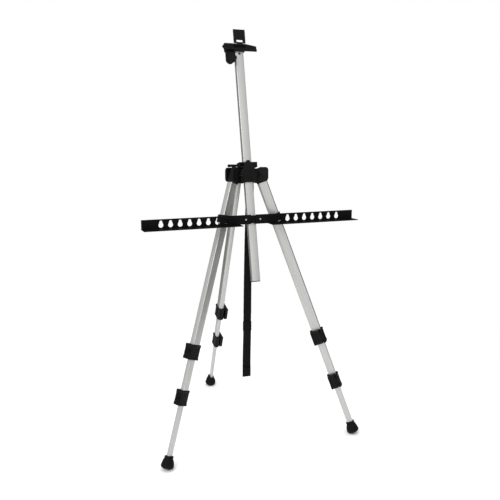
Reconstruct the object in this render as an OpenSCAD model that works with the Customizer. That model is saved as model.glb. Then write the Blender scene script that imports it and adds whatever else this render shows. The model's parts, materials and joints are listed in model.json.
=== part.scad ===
// Tripod field easel: a three-legged stand with telescoping legs, a leaning mast with a
// canvas clamp on top, and a slotted canvas bar that hangs on two pegs of the front legs.
// X is to the right, the painter stands on the -Y side, Z is up, the floor is z = 0.

/* [Stand] */
// Height of the leg pivots above the floor
pivot_h = 645; // [560:5:700]
// Distance of each leg pivot from the stand's centre line
pivot_r = 36; // [34:1:42]
// Opening angle of the two front legs
front_splay = 20.6; // [16:0.2:24]
// Opening angle of the rear leg
rear_splay = 21.4; // [16:0.2:24]

/* [Leg tubes] */
// Upper tube: size across the flat end, radial
upper_w = 24; // [23:0.5:26]
// Upper tube: thickness, tangential
upper_t = 13.5; // [13:0.5:15]
// Middle tube: radial size
mid_w = 19; // [18:0.5:19.5]
// Middle tube: thickness
mid_t = 10; // [9.5:0.1:10.2]
// Lower tube: radial size
lower_w = 14.5; // [13.5:0.5:15]
// Lower tube: thickness
lower_t = 7.2; // [6.8:0.1:7.4]
// Wall of the leg tubes
leg_wall = 1.1; // [0.9:0.1:1.2]
// Distance from the pivot to the middle of the upper collar
upper_len = 422; // [400:1:440]
// Length of the middle tube above the middle of its collar
mid_len = 400; // [380:5:400]
// Length of the lower tube above the floor end of its foot
lower_len = 430; // [400:5:430]
// How far each middle tube is drawn out: left, right, rear
mid_out = [105, 120, 100]; // [60:1:300]

/* [Collars] */
// Height of a collar along the leg
collar_h = 35; // [30:1:40]
// Wall of a collar round its tube
collar_wall = 2; // [1.5:0.5:2]
// Radial overhang of a collar past its tube, at each end
collar_over = 4; // [3:0.5:4]

/* [Mast] */
// Lean of the mast from upright
lean = 11.7; // [5:0.1:15]
// How far the mast stands in front of the stand's centre line at pivot height
mast_fwd = 22.5; // [21:0.5:24]
// Mast tube: width
mast_w = 20; // [18:0.5:20]
// Mast tube: depth
mast_d = 12; // [11:0.5:12]
// Wall of the mast tube
mast_wall = 1.2; // [1:0.1:1.5]
// Mast tube above the pivot height
mast_up = 290; // [260:1:300]
// Mast tube below the pivot height
mast_down = 252; // [200:1:260]

/* [Canvas bar] */
// Half of the bar's length
bar_half = 264; // [240:1:270]
// Height of the bar's slotted flange
bar_h = 22; // [20:0.5:24]
// Depth of the bar's ledge
ledge_d = 32; // [25:1:35]
// Thickness of the bar's sheet steel
sheet = 1.5; // [1.2:0.1:2]
// Height of the bar's underside above the floor
bar_z = 532; // [525:1:540]
// Distance of the bar's flange in front of the stand's centre line
bar_fwd = 58.9; // [58:0.1:60]
// Distance of each peg from the middle
peg_x = 66; // [62:1:70]
// Distance between two slots
slot_pitch = 22; // [20:0.5:24]
// Slots outside the pegs on each arm
slots_out = 7; // [4:1:8]
// Distance of each arm's rivet from the middle
rivet_x = 18; // [16:1:20]

/* [Hidden] */
$fn = 48;

LEFT = 0;
RIGHT = 1;
REAR = 2;
leg_azimuth = [210, 330, 90];
leg_splay = [front_splay, front_splay, rear_splay];

// small allowances
eps = 0.01;
slip = 0.35;

// foot: its round bottom stands on the floor
foot_r = 15;
foot_edge = 5;
foot_neck_r = 10.5;
foot_h = 33;

// the stand's centre line is set so that the origin is the middle of the footprint
function reach(splay) = pivot_r + (pivot_h - foot_edge - (foot_r - foot_edge) * sin(splay)) * tan(splay);
axis_y = -(reach(rear_splay) - reach(front_splay) / 2) / 2;

// black plastic, steel and aluminium as they look
c_plastic = [0.09, 0.09, 0.09];
c_steel = [0.12, 0.12, 0.13];
c_alu = [0.78, 0.78, 0.77];
c_zinc = [0.62, 0.62, 0.63];
c_rubber = [0.05, 0.05, 0.05];
c_web = [0.06, 0.06, 0.065];

// ---- places ----

// frame of a leg: origin on its pivot, -Z down the leg, +X outwards, lever side at -Y
module in_leg(i) {
    translate([0, axis_y, pivot_h]) rotate([0, 0, leg_azimuth[i]])
        translate([pivot_r, 0, 0]) rotate([0, -leg_splay[i], 0]) children();
}

// frame of the hub: origin on the centre line at pivot height
module in_hub() {
    translate([0, axis_y, pivot_h]) children();
}

// frame of the mast: origin on its tilt axis, Z up along the mast
module in_mast() {
    translate([0, axis_y - mast_fwd, pivot_h]) rotate([-lean, 0, 0]) children();
}

// frame of the canvas bar: origin at the middle of the flange's back face, at its underside
module in_bar() {
    translate([0, axis_y - bar_fwd + sheet / 2, bar_z]) children();
}

// distance from the pivot to the floor end of a leg's foot, along the leg
function leg_end(i) = foot_edge + (reach(leg_splay[i]) - pivot_r) / sin(leg_splay[i]);
function lower_collar_at(i) = upper_len + mid_out[i];

// ---- shared shapes ----

// section of a leg tube: a round inner end and a flat outer end
module leg_section(w, t, grow = 0) {
    r = t / 2 + grow;
    translate([-w / 2 + t / 2, 0]) circle(r = r);
    translate([-w / 2 + t / 2, -r]) square([w - t / 2 + grow, 2 * r]);
}

// a leg tube from z = top down to z = bottom
module leg_tube(w, t, top, bottom) {
    color(c_alu) translate([0, 0, bottom]) linear_extrude(top - bottom) difference() {
        leg_section(w, t);
        leg_section(w, t, -leg_wall);
    }
}

// plate with rounded corners, centred, standing on z = 0
module rounded_plate(size, r, h) {
    linear_extrude(h) {
        square([size.x - 2 * r, size.y], center = true);
        square([size.x, size.y - 2 * r], center = true);
        for (sx = [-1, 1], sy = [-1, 1])
            translate([sx * (size.x / 2 - r), sy * (size.y / 2 - r)]) circle(r = r);
    }
}

// cylinder along Y from y0 to y1
module y_cyl(r, y0, y1) {
    translate([0, y1, 0]) rotate([90, 0, 0]) cylinder(r = r, h = y1 - y0);
}

// cylinder along X from x0 to x1
module x_cyl(r, x0, x1) {
    translate([x0, 0, 0]) rotate([0, 90, 0]) cylinder(r = r, h = x1 - x0);
}

// ---- hub ----

hub_top = 13;
hub_bottom = -20;
core_r = 19;
ear_r = 15;
ear_in = upper_t / 2 + 0.5;
ear_t = 4;
ear_root = 6;
ear_out = ear_in + ear_t;
bolt_r = 3;
yoke_in = 15.4;
yoke_out = 20;
yoke_front = 33;
bridge_z = 9.8;
room_back = -9.5;
room_d = 34;
tilt_r = 4;
cover_t = 4;
cover_screw_r = 12;
cover_screw_a = [30, 150];

// the tilt axis stands a little in front of the mast's own axis
tilt_fwd = 4;
tilt_at = [0, -mast_fwd - tilt_fwd * cos(lean), tilt_fwd * sin(lean)];

// the two ears that hold a leg's upper end, in the plane of the leg
module leg_ears(i) {
    rotate([0, 0, leg_azimuth[i]]) for (s = [-1, 1])
        translate([0, s > 0 ? ear_out : -ear_in, 0]) rotate([90, 0, 0]) linear_extrude(ear_t)
            difference() {
                intersection() {
                    union() {
                        translate([pivot_r, 0]) circle(r = ear_r);
                        translate([ear_root, hub_bottom])
                            square([pivot_r - ear_root, hub_top - hub_bottom]);
                    }
                    translate([ear_root, hub_bottom])
                        square([pivot_r + ear_r, hub_top - hub_bottom]);
                }
                translate([pivot_r, 0]) circle(r = bolt_r + 0.1);
            }
}

module hub_body() {
    color(c_plastic) in_hub() difference() {
        union() {
            translate([0, 0, hub_bottom]) cylinder(r = core_r, h = hub_top - hub_bottom);
            for (i = [LEFT, RIGHT, REAR]) leg_ears(i);
            // yoke that carries the tilting mast head
            for (s = [-1, 1])
                translate([s > 0 ? yoke_in : -yoke_out, -yoke_front, hub_bottom])
                    cube([yoke_out - yoke_in, yoke_front + 4, hub_top - hub_bottom]);
            // lug for the strap
            translate([-2.5, -12, hub_bottom - 5]) cube([22, 6, 6]);
        }
        // room for the mast head
        translate([-yoke_in, room_back - room_d, hub_bottom - 1])
            cube([2 * yoke_in, room_d, hub_top - hub_bottom + 2]);
        // room for the legs' upper ends, below the bridges that carry the yoke
        for (i = [LEFT, RIGHT, REAR]) rotate([0, 0, leg_azimuth[i]])
            translate([core_r - 1, -ear_in, hub_bottom - 1])
                cube([40, 2 * ear_in, bridge_z - hub_bottom + 1]);
        translate([0, tilt_at.y, tilt_at.z]) x_cyl(tilt_r + 0.1, -yoke_out - 0.3, yoke_out + 0.3);
        for (a = cover_screw_a) rotate([0, 0, a])
            translate([cover_screw_r, 0, hub_top - 10]) cylinder(r = 1.3, h = 12);
    }
}

module hub_cover() {
    color(c_plastic) in_hub() difference() {
        translate([0, 0, hub_top]) cylinder(r1 = core_r - 0.5, r2 = core_r - 3, h = cover_t);
        translate([-core_r, room_back + 1 - core_r, hub_top - 1])
            cube([2 * core_r, core_r, cover_t + 2]);
        for (a = cover_screw_a) rotate([0, 0, a])
            translate([cover_screw_r, 0, hub_top - 1]) cylinder(r = 1.6, h = cover_t + 2);
    }
}

module cover_screws() {
    color(c_zinc) in_hub() for (a = cover_screw_a) rotate([0, 0, a])
        translate([cover_screw_r, 0, hub_top - 8]) {
            cylinder(r = 1.25, h = 8 + cover_t);
            translate([0, 0, 8 + cover_t]) cylinder(r = 2.6, h = 1.2);
        }
}

// three bolts through the ears and the legs' upper ends
module leg_bolts() {
    color(c_zinc) in_hub() for (i = [LEFT, RIGHT, REAR]) rotate([0, 0, leg_azimuth[i]])
        translate([pivot_r, 0, 0]) {
            y_cyl(bolt_r, -ear_out - 0.05, ear_out + 0.05);
            y_cyl(5, -ear_out - 2.2, -ear_out - 0.05);
            y_cyl(4.6, ear_out + 0.05, ear_out + 2.2);
        }
}

// ---- strap: webbing that hangs from the hub's lug ----

strap_w = 21;
strap_t = 2;
strap_x = 10;
strap_route = [
    [0, -9, -25], [0, -9, -45], [0, -8.5, -70], [-0.5, -8, -100], [-1, -7, -130],
    [-1.5, -6, -160], [-2, -5.5, -190], [-2.5, -5, -220], [-3, -5, -250], [-3.5, -5, -280],
    [-4, -5.5, -310], [-4.5, -6, -340], [-5, -6, -370], [-5, -5.5, -400], [-5.5, -5, -430],
    [-6, -4.5, -460], [-6, -4, -490], [-6, -3.5, -511]
];
strap_section = let (a = strap_w / 2, b = strap_t / 2)
    [[-a, -b / 2], [-a + 1, -b], [a - 1, -b], [a, -b / 2], [a, b / 2], [a - 1, b], [-a + 1, b],
     [-a, b / 2]];

module leg_strap() {
    n = len(strap_section);
    rings = len(strap_route);
    pts = [for (p = strap_route) for (q = strap_section) [strap_x + p.x + q.x, p.y + q.y, p.z]];
    sides = [for (k = [0:rings - 2]) for (j = [0:n - 1])
        [k * n + j, k * n + (j + 1) % n, (k + 1) * n + (j + 1) % n, (k + 1) * n + j]];
    top = [[for (j = [n - 1:-1:0]) j]];
    bottom = [[for (j = [0:n - 1]) (rings - 1) * n + j]];
    color(c_web) in_hub() polyhedron(points = pts, faces = concat(sides, top, bottom));
}

// ---- mast head: tilting block that the mast slides in ----

head_x = 14.9;
head_front = -11;
head_back = 8.5;
head_top = 28;
head_low = -19;
shelf_x = 22;
shelf_z = 16;
channel = 0.35;
lever_at = [-18, 1, 21.5];

module mast_head() {
    color(c_plastic) in_mast() difference() {
        union() {
            translate([-head_x, head_front, head_low])
                cube([2 * head_x, head_back - head_front, head_top - head_low]);
            translate([-shelf_x, head_front, shelf_z])
                cube([2 * shelf_x, head_back - head_front, head_top - shelf_z]);
            // raised nose over the front
            translate([0, head_front + 6, head_top]) rotate([90, 0, 0])
                cylinder(r = 5, h = 6);
        }
        translate([-mast_w / 2 - channel, -mast_d / 2 - channel, head_low - 1])
            cube([mast_w + 2 * channel, mast_d + 2 * channel, head_top - head_low + 12]);
        // tilt bolts' bores
        translate([0, -tilt_fwd, 0]) x_cyl(tilt_r - 1 + 0.05, -head_x - 1, head_x + 1);
        // pocket and pin bore for the mast lever
        translate([-shelf_x - 1, head_front - 1, lever_at.z - 3.2])
            cube([shelf_x - mast_w / 2 - 0.4, head_back - head_front + 2, 6.4]);
        translate([lever_at.x, lever_at.y, shelf_z - 1]) cylinder(r = 1.6, h = 20);
    }
}

// shouldered bolts that the head tilts on
module tilt_bolts() {
    inner = mast_w / 2 + 0.6;
    shoulder = head_x + 0.05;
    color(c_zinc) in_mast() translate([0, -tilt_fwd, 0]) {
        x_cyl(tilt_r - 1, inner, shoulder + 1);
        x_cyl(tilt_r, shoulder, yoke_out + 0.2);
        x_cyl(tilt_r - 1, -shoulder - 1, -inner);
        x_cyl(tilt_r, -yoke_out - 0.2, -shoulder);
    }
}

lever_len = 29;

// thin curved lever that squeezes the mast
module mast_lever() {
    color(c_plastic) in_mast() translate(lever_at) difference() {
        translate([0, 0, -2.5]) linear_extrude(5) {
            circle(r = 4.4);
            // curved blade: a ring sector that leaves the eye to the left
            intersection() {
                translate([-lever_len / 2, 34]) difference() {
                    circle(r = 38);
                    circle(r = 34.6);
                }
                translate([-lever_len, -10]) square([lever_len, 14]);
            }
        }
        translate([0, 0, -3]) cylinder(r = 1.75, h = 6);
    }
}

module lever_pin() {
    color(c_zinc) in_mast() translate([lever_at.x, lever_at.y, shelf_z + 0.4])
        cylinder(r = 1.55, h = head_top - shelf_z - 0.4);
}

// ---- mast ----

plug_len = 30;

module mast_tube() {
    color(c_alu) in_mast() difference() {
        translate([-mast_w / 2, -mast_d / 2, -mast_down])
            cube([mast_w, mast_d, mast_up + mast_down]);
        translate([-mast_w / 2 + mast_wall, -mast_d / 2 + mast_wall, -mast_down - 1])
            cube([mast_w - 2 * mast_wall, mast_d - 2 * mast_wall, mast_up + mast_down + 2]);
    }
}

module mast_end_cap() {
    inner = [mast_w - 2 * mast_wall - 0.1, mast_d - 2 * mast_wall - 0.1];
    color(c_plastic) in_mast() translate([0, 0, -mast_down]) {
        translate([-inner.x / 2, -inner.y / 2, 0]) cube([inner.x, inner.y, 12]);
        translate([-mast_w / 2, -mast_d / 2, -1.6]) cube([mast_w, mast_d, 1.6]);
    }
}

// ---- canvas clamp on top of the mast ----

wing_z = mast_up + 0.6;
wing_h = 17;
wing_y = -9.7;
wing_t = 2.6;
knob_at = [-23, -8, mast_up - 19];
tab_w = 29;
tab_h = 36;
tab_t = 2.4;
tab_slot_x = 5.6;
tab_slot_r = 2.7;
tab_axis_y = wing_y - 2.3;
tab_foot_z = wing_z + wing_h - 4;

module top_bracket() {
    plug = [mast_w - 2 * mast_wall - 0.1, mast_d - 2 * mast_wall - 0.1];
    color(c_plastic) in_mast() difference() {
        union() {
            translate([-plug.x / 2, -plug.y / 2, mast_up - plug_len])
                cube([plug.x, plug.y, plug_len + 2]);
            translate([-34, -7, mast_up + 0.1]) cube([48, 13, wing_h - 1]);
            // lug beside the mast for the clamp knob
            translate([-33, -7, knob_at.z]) cube([20, 9, mast_up + 2 - knob_at.z]);
            translate([knob_at.x, 0, knob_at.z]) y_cyl(10, -7, 2);
        }
        translate([knob_at.x, 0, knob_at.z]) y_cyl(2.6, -12, 8);
    }
}

// cross piece that the canvas edge is held under, with a lip that points forwards
module canvas_wing() {
    color(c_plastic) in_mast() difference() {
        union() {
            translate([0, wing_y + wing_t, wing_z]) rotate([90, 0, 0]) linear_extrude(wing_t)
                polygon([[-43, wing_h / 2], [-38, 0], [42.5, 0], [42.5, wing_h - 4.5],
                    [16, wing_h], [-38, wing_h]]);
            translate([-38, wing_y - 14, wing_z]) cube([80.5, 14.5, 2.4]);
            // knuckles of the tab's hinge
            for (s = [-1, 1]) translate([s * 10.5, tab_axis_y, tab_foot_z]) x_cyl(2.8, -3, 3);
        }
        translate([0, tab_axis_y, tab_foot_z]) x_cyl(1.1, -20, 20);
    }
}

// upright tab with a slot, hinged on the wing
module canvas_tab() {
    color(c_plastic) in_mast() translate([0, tab_axis_y, tab_foot_z]) {
        difference() {
            union() {
                translate([-tab_w / 2, -tab_t / 2, 4]) cube([tab_w, tab_t, tab_h - 4]);
                translate([-7, -tab_t / 2, 0]) cube([14, tab_t, 5]);
                x_cyl(2, -7.1, 7.1);
            }
            rotate([90, 0, 0]) linear_extrude(20, center = true) {
                for (s = [-1, 1]) translate([s * tab_slot_x, 9]) circle(r = tab_slot_r);
                translate([-tab_slot_x, 9 - tab_slot_r])
                    square([2 * tab_slot_x, 2 * tab_slot_r]);
            }
        }
        x_cyl(1, -13.4, 13.4);
    }
}

module clamp_knob() {
    color(c_plastic) in_mast() translate([knob_at.x, 0, knob_at.z]) {
        y_cyl(10.5, -21, -10.2);
        y_cyl(6, -10.3, -7.3);
        y_cyl(2.5, -9, 4);
    }
}

// ---- canvas bar ----

slot_neck_r = 3.2;
slot_bulb_r = 5.6;
slot_margin = 3;
slot_len = 16;
arm_in = 6;
rivet_r = 3;
link_t = 2;
peg_r = 2.2;
neck_z = bar_h - slot_margin - slot_neck_r;
bulb_z = bar_h - slot_margin - slot_len + slot_bulb_r;

// pear-shaped slot, narrow end up
module pear() {
    translate([0, neck_z]) circle(r = slot_neck_r);
    translate([0, bulb_z]) circle(r = slot_bulb_r);
    polygon([[-slot_neck_r, neck_z], [-slot_bulb_r, bulb_z], [slot_bulb_r, bulb_z],
        [slot_neck_r, neck_z]]);
}

// one arm of the bar; s = -1 is the left one
module bar_arm(s) {
    color(c_steel) in_bar() {
        rotate([90, 0, 0]) linear_extrude(sheet) difference() {
            translate([s > 0 ? arm_in : -bar_half, 0]) square([bar_half - arm_in, bar_h]);
            for (k = [0:slots_out]) translate([s * (peg_x + k * slot_pitch), 0]) pear();
            translate([s * rivet_x, bar_h / 2]) circle(r = rivet_r + 0.1);
        }
        x0 = 36;
        translate([s > 0 ? x0 : -bar_half, -ledge_d, 0])
            cube([bar_half - x0, ledge_d - sheet + eps, sheet]);
    }
}

module bar_link() {
    color(c_steel) in_bar() translate([0, link_t + 0.3, 0]) rotate([90, 0, 0])
        linear_extrude(link_t) difference() {
            union() {
                for (s = [-1, 1]) translate([s * rivet_x, bar_h / 2]) circle(r = 9);
                translate([-rivet_x, bar_h / 2 - 9]) square([2 * rivet_x, 18]);
            }
            for (s = [-1, 1]) translate([s * rivet_x, bar_h / 2]) circle(r = rivet_r - 0.5 + 0.02);
        }
}

module bar_rivets() {
    color(c_zinc) in_bar() for (s = [-1, 1]) translate([s * rivet_x, 0, bar_h / 2]) {
        y_cyl(rivet_r, -sheet - 0.2, 0.3);
        y_cyl(rivet_r - 0.5, 0.2, link_t + 0.4);
        y_cyl(4.4, -sheet - 1.2, -sheet - 0.2);
        y_cyl(4, link_t + 0.4, link_t + 1.4);
    }
}

// distance down the leg to the peg, and the bracket's half height
peg_down = (pivot_h - bar_z - neck_z) / cos(front_splay);
bracket_h = 18;
bracket_low = 15;

// sleeve on a front leg that reaches forwards and ends in a plain peg
module peg_bracket(i) {
    s = i == LEFT ? -1 : 1;
    bar_y = axis_y - bar_fwd;
    color(c_plastic) difference() {
        union() {
            in_leg(i) translate([0, 0, -peg_down - bracket_low]) linear_extrude(bracket_h)
                leg_section(upper_w, upper_t, 2.4);
            // boss with a flat front just behind the bar
            intersection() {
                in_leg(i) translate([-13, -20, -peg_down - bracket_low]) cube([26, 40, bracket_h]);
                translate([s * peg_x - 13, bar_y + sheet / 2 + 0.8, bar_z - 20])
                    cube([26, 16, bar_h + 40]);
            }
            translate([s * peg_x, bar_y - sheet / 2, bar_z + neck_z]) y_cyl(peg_r, 0, 10);
        }
        in_leg(i) translate([0, 0, -peg_down - 2 * bracket_low]) linear_extrude(3 * bracket_low)
            leg_section(upper_w, upper_t, 0.02);
    }
}

// ---- legs ----

top_over = 9;
upper_end = upper_len + collar_h / 2 - 4;
lug_y = 4.6;
lug_r = 3;
pin_r = 1.4;

// plastic plug in the upper end of the upper tube, bored for the pivot bolt
module leg_plug(i) {
    color(c_plastic) in_leg(i) difference() {
        translate([0, 0, -26]) linear_extrude(26 + top_over)
            leg_section(upper_w, upper_t, -leg_wall - 0.02);
        y_cyl(bolt_r + 0.05, -upper_t, upper_t);
    }
}

module upper_tube(i) {
    in_leg(i) difference() {
        leg_tube(upper_w, upper_t, top_over, -upper_end);
        y_cyl(bolt_r + 0.15, -upper_t, upper_t);
    }
}

// body of a flip-lock collar whose middle is at z; the tube above goes half way in
module collar(w, t, inner_w, inner_t, z) {
    hx = w / 2;
    hy = -t / 2 - collar_wall - lug_y;
    color(c_plastic) translate([0, 0, z - collar_h / 2]) difference() {
        union() {
            linear_extrude(collar_h) {
                translate([-w / 2 + t / 2 - collar_over + collar_wall, 0])
                    circle(r = t / 2 + collar_wall);
                translate([-w / 2 + t / 2 - collar_over + collar_wall, -t / 2 - collar_wall])
                    square([w - t / 2 + 2 * collar_over - collar_wall, t + 2 * collar_wall]);
            }
            // hinge lug at the outer corner
            linear_extrude(collar_h) {
                translate([hx, hy]) circle(r = lug_r);
                translate([hx - lug_r, hy]) square([2 * lug_r, lug_y + 1]);
            }
        }
        // seat of the outer tube, then the narrower throat for the sliding tube
        translate([0, 0, 4 - eps]) linear_extrude(collar_h) leg_section(w, t, 0.02);
        translate([0, 0, -1]) linear_extrude(collar_h) leg_section(inner_w, inner_t, slip);
        // gap that the lever's knuckle turns in
        translate([hx - 12, hy - lug_r - 1, 8])
            cube([12 + lug_r + 1, lug_r + lug_y + 0.8, collar_h - 16]);
        translate([hx, hy, -1]) cylinder(r = pin_r + 0.05, h = collar_h + 2);
    }
}

// flip lever: knuckle on the pin and a plate that lies along the lever side
module flip_lever(w, t, z) {
    hx = w / 2;
    hy = -t / 2 - collar_wall - lug_y;
    reach_in = w + 1.5;
    color(c_plastic) translate([hx, hy, z]) difference() {
        union() {
            translate([0, 0, -collar_h / 2 + 8.3]) cylinder(r = lug_r, h = collar_h - 16.6);
            translate([-lug_r - 3, -lug_r, -collar_h / 2 + 8.3])
                cube([lug_r + 3, 3.6, collar_h - 16.6]);
            translate([-reach_in, -lug_r, -collar_h / 2])
                cube([reach_in - lug_r - 1.2, 3.6, collar_h]);
        }
        cylinder(r = pin_r + 0.1, h = collar_h, center = true);
    }
}

module lever_hinge_pin(w, t, z) {
    color(c_zinc) translate([w / 2, -t / 2 - collar_wall - lug_y, z])
        cylinder(r = pin_r, h = collar_h - 1, center = true);
}

// guide shoe on the upper end of a sliding tube, a slip fit in the tube outside it
module guide_shoe(w, t, outer_w, outer_t, top) {
    color(c_plastic) translate([0, 0, top]) {
        linear_extrude(4)
            leg_section(outer_w - 2 * leg_wall - 0.6, outer_t - 2 * leg_wall - 0.6);
        translate([0, 0, -14]) linear_extrude(14.1) leg_section(w, t, -leg_wall - 0.05);
    }
}

function mid_top(i) = -(lower_collar_at(i) - mid_len);
function lower_top(i) = -(leg_end(i) - lower_len);

module upper_collar(i) { in_leg(i) collar(upper_w, upper_t, mid_w, mid_t, -upper_len); }
module upper_lever(i) { in_leg(i) flip_lever(upper_w, upper_t, -upper_len); }
module upper_pin(i) { in_leg(i) lever_hinge_pin(upper_w, upper_t, -upper_len); }
module mid_shoe(i) { in_leg(i) guide_shoe(mid_w, mid_t, upper_w, upper_t, mid_top(i)); }
module mid_tube(i) {
    in_leg(i) leg_tube(mid_w, mid_t, mid_top(i), -lower_collar_at(i) - collar_h / 2 + 4);
}
module lower_collar(i) { in_leg(i) collar(mid_w, mid_t, lower_w, lower_t, -lower_collar_at(i)); }
module lower_lever(i) { in_leg(i) flip_lever(mid_w, mid_t, -lower_collar_at(i)); }
module lower_pin(i) { in_leg(i) lever_hinge_pin(mid_w, mid_t, -lower_collar_at(i)); }
module lower_shoe(i) { in_leg(i) guide_shoe(lower_w, lower_t, mid_w, mid_t, lower_top(i)); }
module lower_tube(i) { in_leg(i) leg_tube(lower_w, lower_t, lower_top(i), -leg_end(i) + 14); }

// rubber foot: a socket for the tube that flares to a flat bottom with a rounded edge
module foot(i) {
    in_leg(i) color(c_rubber) translate([0, 0, -leg_end(i)]) difference() {
        rotate_extrude() polygon(concat(
            [for (a = [-90:15:0]) [foot_r - foot_edge + foot_edge * cos(a), foot_edge * (1 + sin(a))]],
            [[foot_neck_r, foot_h], [0, foot_h], [0, 0]]));
        translate([0, 0, 14 - eps]) linear_extrude(foot_h) leg_section(lower_w, lower_t, 0.02);
    }
}

hub_body();
hub_cover();
cover_screws();
leg_bolts();
leg_strap();
mast_head();
tilt_bolts();
mast_lever();
lever_pin();
mast_tube();
mast_end_cap();
top_bracket();
canvas_wing();
canvas_tab();
clamp_knob();
bar_link();
bar_rivets();
bar_arm(-1);  // left_bar_arm
bar_arm(1);  // right_bar_arm
peg_bracket(LEFT);  // left_peg_bracket
peg_bracket(RIGHT);  // right_peg_bracket
leg_plug(LEFT);  // left_leg_plug
upper_tube(LEFT);  // left_upper_tube
upper_collar(LEFT);  // left_upper_collar
upper_lever(LEFT);  // left_upper_lever
upper_pin(LEFT);  // left_upper_pin
mid_shoe(LEFT);  // left_mid_shoe
mid_tube(LEFT);  // left_mid_tube
lower_collar(LEFT);  // left_lower_collar
lower_lever(LEFT);  // left_lower_lever
lower_pin(LEFT);  // left_lower_pin
lower_shoe(LEFT);  // left_lower_shoe
lower_tube(LEFT);  // left_lower_tube
foot(LEFT);  // left_foot
leg_plug(RIGHT);  // right_leg_plug
upper_tube(RIGHT);  // right_upper_tube
upper_collar(RIGHT);  // right_upper_collar
upper_lever(RIGHT);  // right_upper_lever
upper_pin(RIGHT);  // right_upper_pin
mid_shoe(RIGHT);  // right_mid_shoe
mid_tube(RIGHT);  // right_mid_tube
lower_collar(RIGHT);  // right_lower_collar
lower_lever(RIGHT);  // right_lower_lever
lower_pin(RIGHT);  // right_lower_pin
lower_shoe(RIGHT);  // right_lower_shoe
lower_tube(RIGHT);  // right_lower_tube
foot(RIGHT);  // right_foot
leg_plug(REAR);  // rear_leg_plug
upper_tube(REAR);  // rear_upper_tube
upper_collar(REAR);  // rear_upper_collar
upper_lever(REAR);  // rear_upper_lever
upper_pin(REAR);  // rear_upper_pin
mid_shoe(REAR);  // rear_mid_shoe
mid_tube(REAR);  // rear_mid_tube
lower_collar(REAR);  // rear_lower_collar
lower_lever(REAR);  // rear_lower_lever
lower_pin(REAR);  // rear_lower_pin
lower_shoe(REAR);  // rear_lower_shoe
lower_tube(REAR);  // rear_lower_tube
foot(REAR);  // rear_foot
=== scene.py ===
"""Tripod field easel: the visible surfaces and finishes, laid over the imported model.

Sizes are in millimetres in each sub-assembly's own frame, as a maker would mark them out,
and become metres when a mesh is made.
"""

import json
import logging
import math
from dataclasses import dataclass, field
from enum import Enum
from typing import Callable, Iterable, Sequence

import bmesh
import bpy
import numpy as np
from mathutils import Matrix, Vector


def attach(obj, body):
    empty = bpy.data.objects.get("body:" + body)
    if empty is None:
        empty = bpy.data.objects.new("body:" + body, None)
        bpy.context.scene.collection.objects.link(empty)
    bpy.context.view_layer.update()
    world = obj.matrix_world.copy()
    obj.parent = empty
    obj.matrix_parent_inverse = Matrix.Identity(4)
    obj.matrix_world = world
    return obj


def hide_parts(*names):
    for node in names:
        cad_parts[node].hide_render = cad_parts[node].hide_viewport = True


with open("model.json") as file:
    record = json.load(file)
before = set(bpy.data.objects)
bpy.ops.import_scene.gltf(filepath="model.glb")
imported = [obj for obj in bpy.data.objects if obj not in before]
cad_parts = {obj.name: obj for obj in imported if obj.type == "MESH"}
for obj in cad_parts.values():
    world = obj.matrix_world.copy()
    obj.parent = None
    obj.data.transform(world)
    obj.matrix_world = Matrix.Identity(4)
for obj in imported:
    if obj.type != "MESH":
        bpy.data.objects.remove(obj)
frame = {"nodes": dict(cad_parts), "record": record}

LOG = logging.getLogger("field_easel")
MM = 0.001

Array = np.ndarray
Rows = Sequence[Sequence[float]]
Tone = tuple[float, float, float]


class Side(Enum):
    """The three legs, by the name that their pieces start with."""

    LEFT = "left"
    RIGHT = "right"
    REAR = "rear"


class Ends(Enum):
    """How a carried outline is finished: with two flat ends, or joined back to its start."""

    CAPPED = "capped"
    JOINED = "joined"


class Plane(Enum):
    """The plane an outline is drawn in; it is carried along the axis that is left."""

    XY = (0, 1, 2)
    XZ = (0, 2, 1)
    YZ = (1, 2, 0)


# ---------------------------------------------------------------- places


@dataclass(frozen=True)
class Placement:
    """A local frame of the easel: where its origin is, and its axes as matrix columns."""

    origin: tuple[float, float, float]
    axes: Array

    def out(self, points: Array) -> Array:
        """Points of the local frame in millimetres, as metres in the easel's frame."""
        return (np.asarray(self.origin) + points @ self.axes.T) * MM

    def point(self, x: float, y: float, z: float) -> tuple[float, float, float]:
        """One local point in metres in the easel's frame."""
        return tuple(float(v) for v in self.out(np.array([[x, y, z]], float))[0])


def turn(axis: int, degrees: float) -> Array:
    """Rotation matrix about one of the axes.

    Args:
        axis: 0 for X, 1 for Y, 2 for Z.
        degrees: angle, anticlockwise when looked at from the axis' tip.

    Returns:
        The 3 by 3 matrix.
    """
    c, s = math.cos(math.radians(degrees)), math.sin(math.radians(degrees))
    a, b = (axis + 1) % 3, (axis + 2) % 3
    m = np.eye(3)
    m[a, a], m[a, b], m[b, a], m[b, b] = c, -s, s, c
    return m


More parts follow.
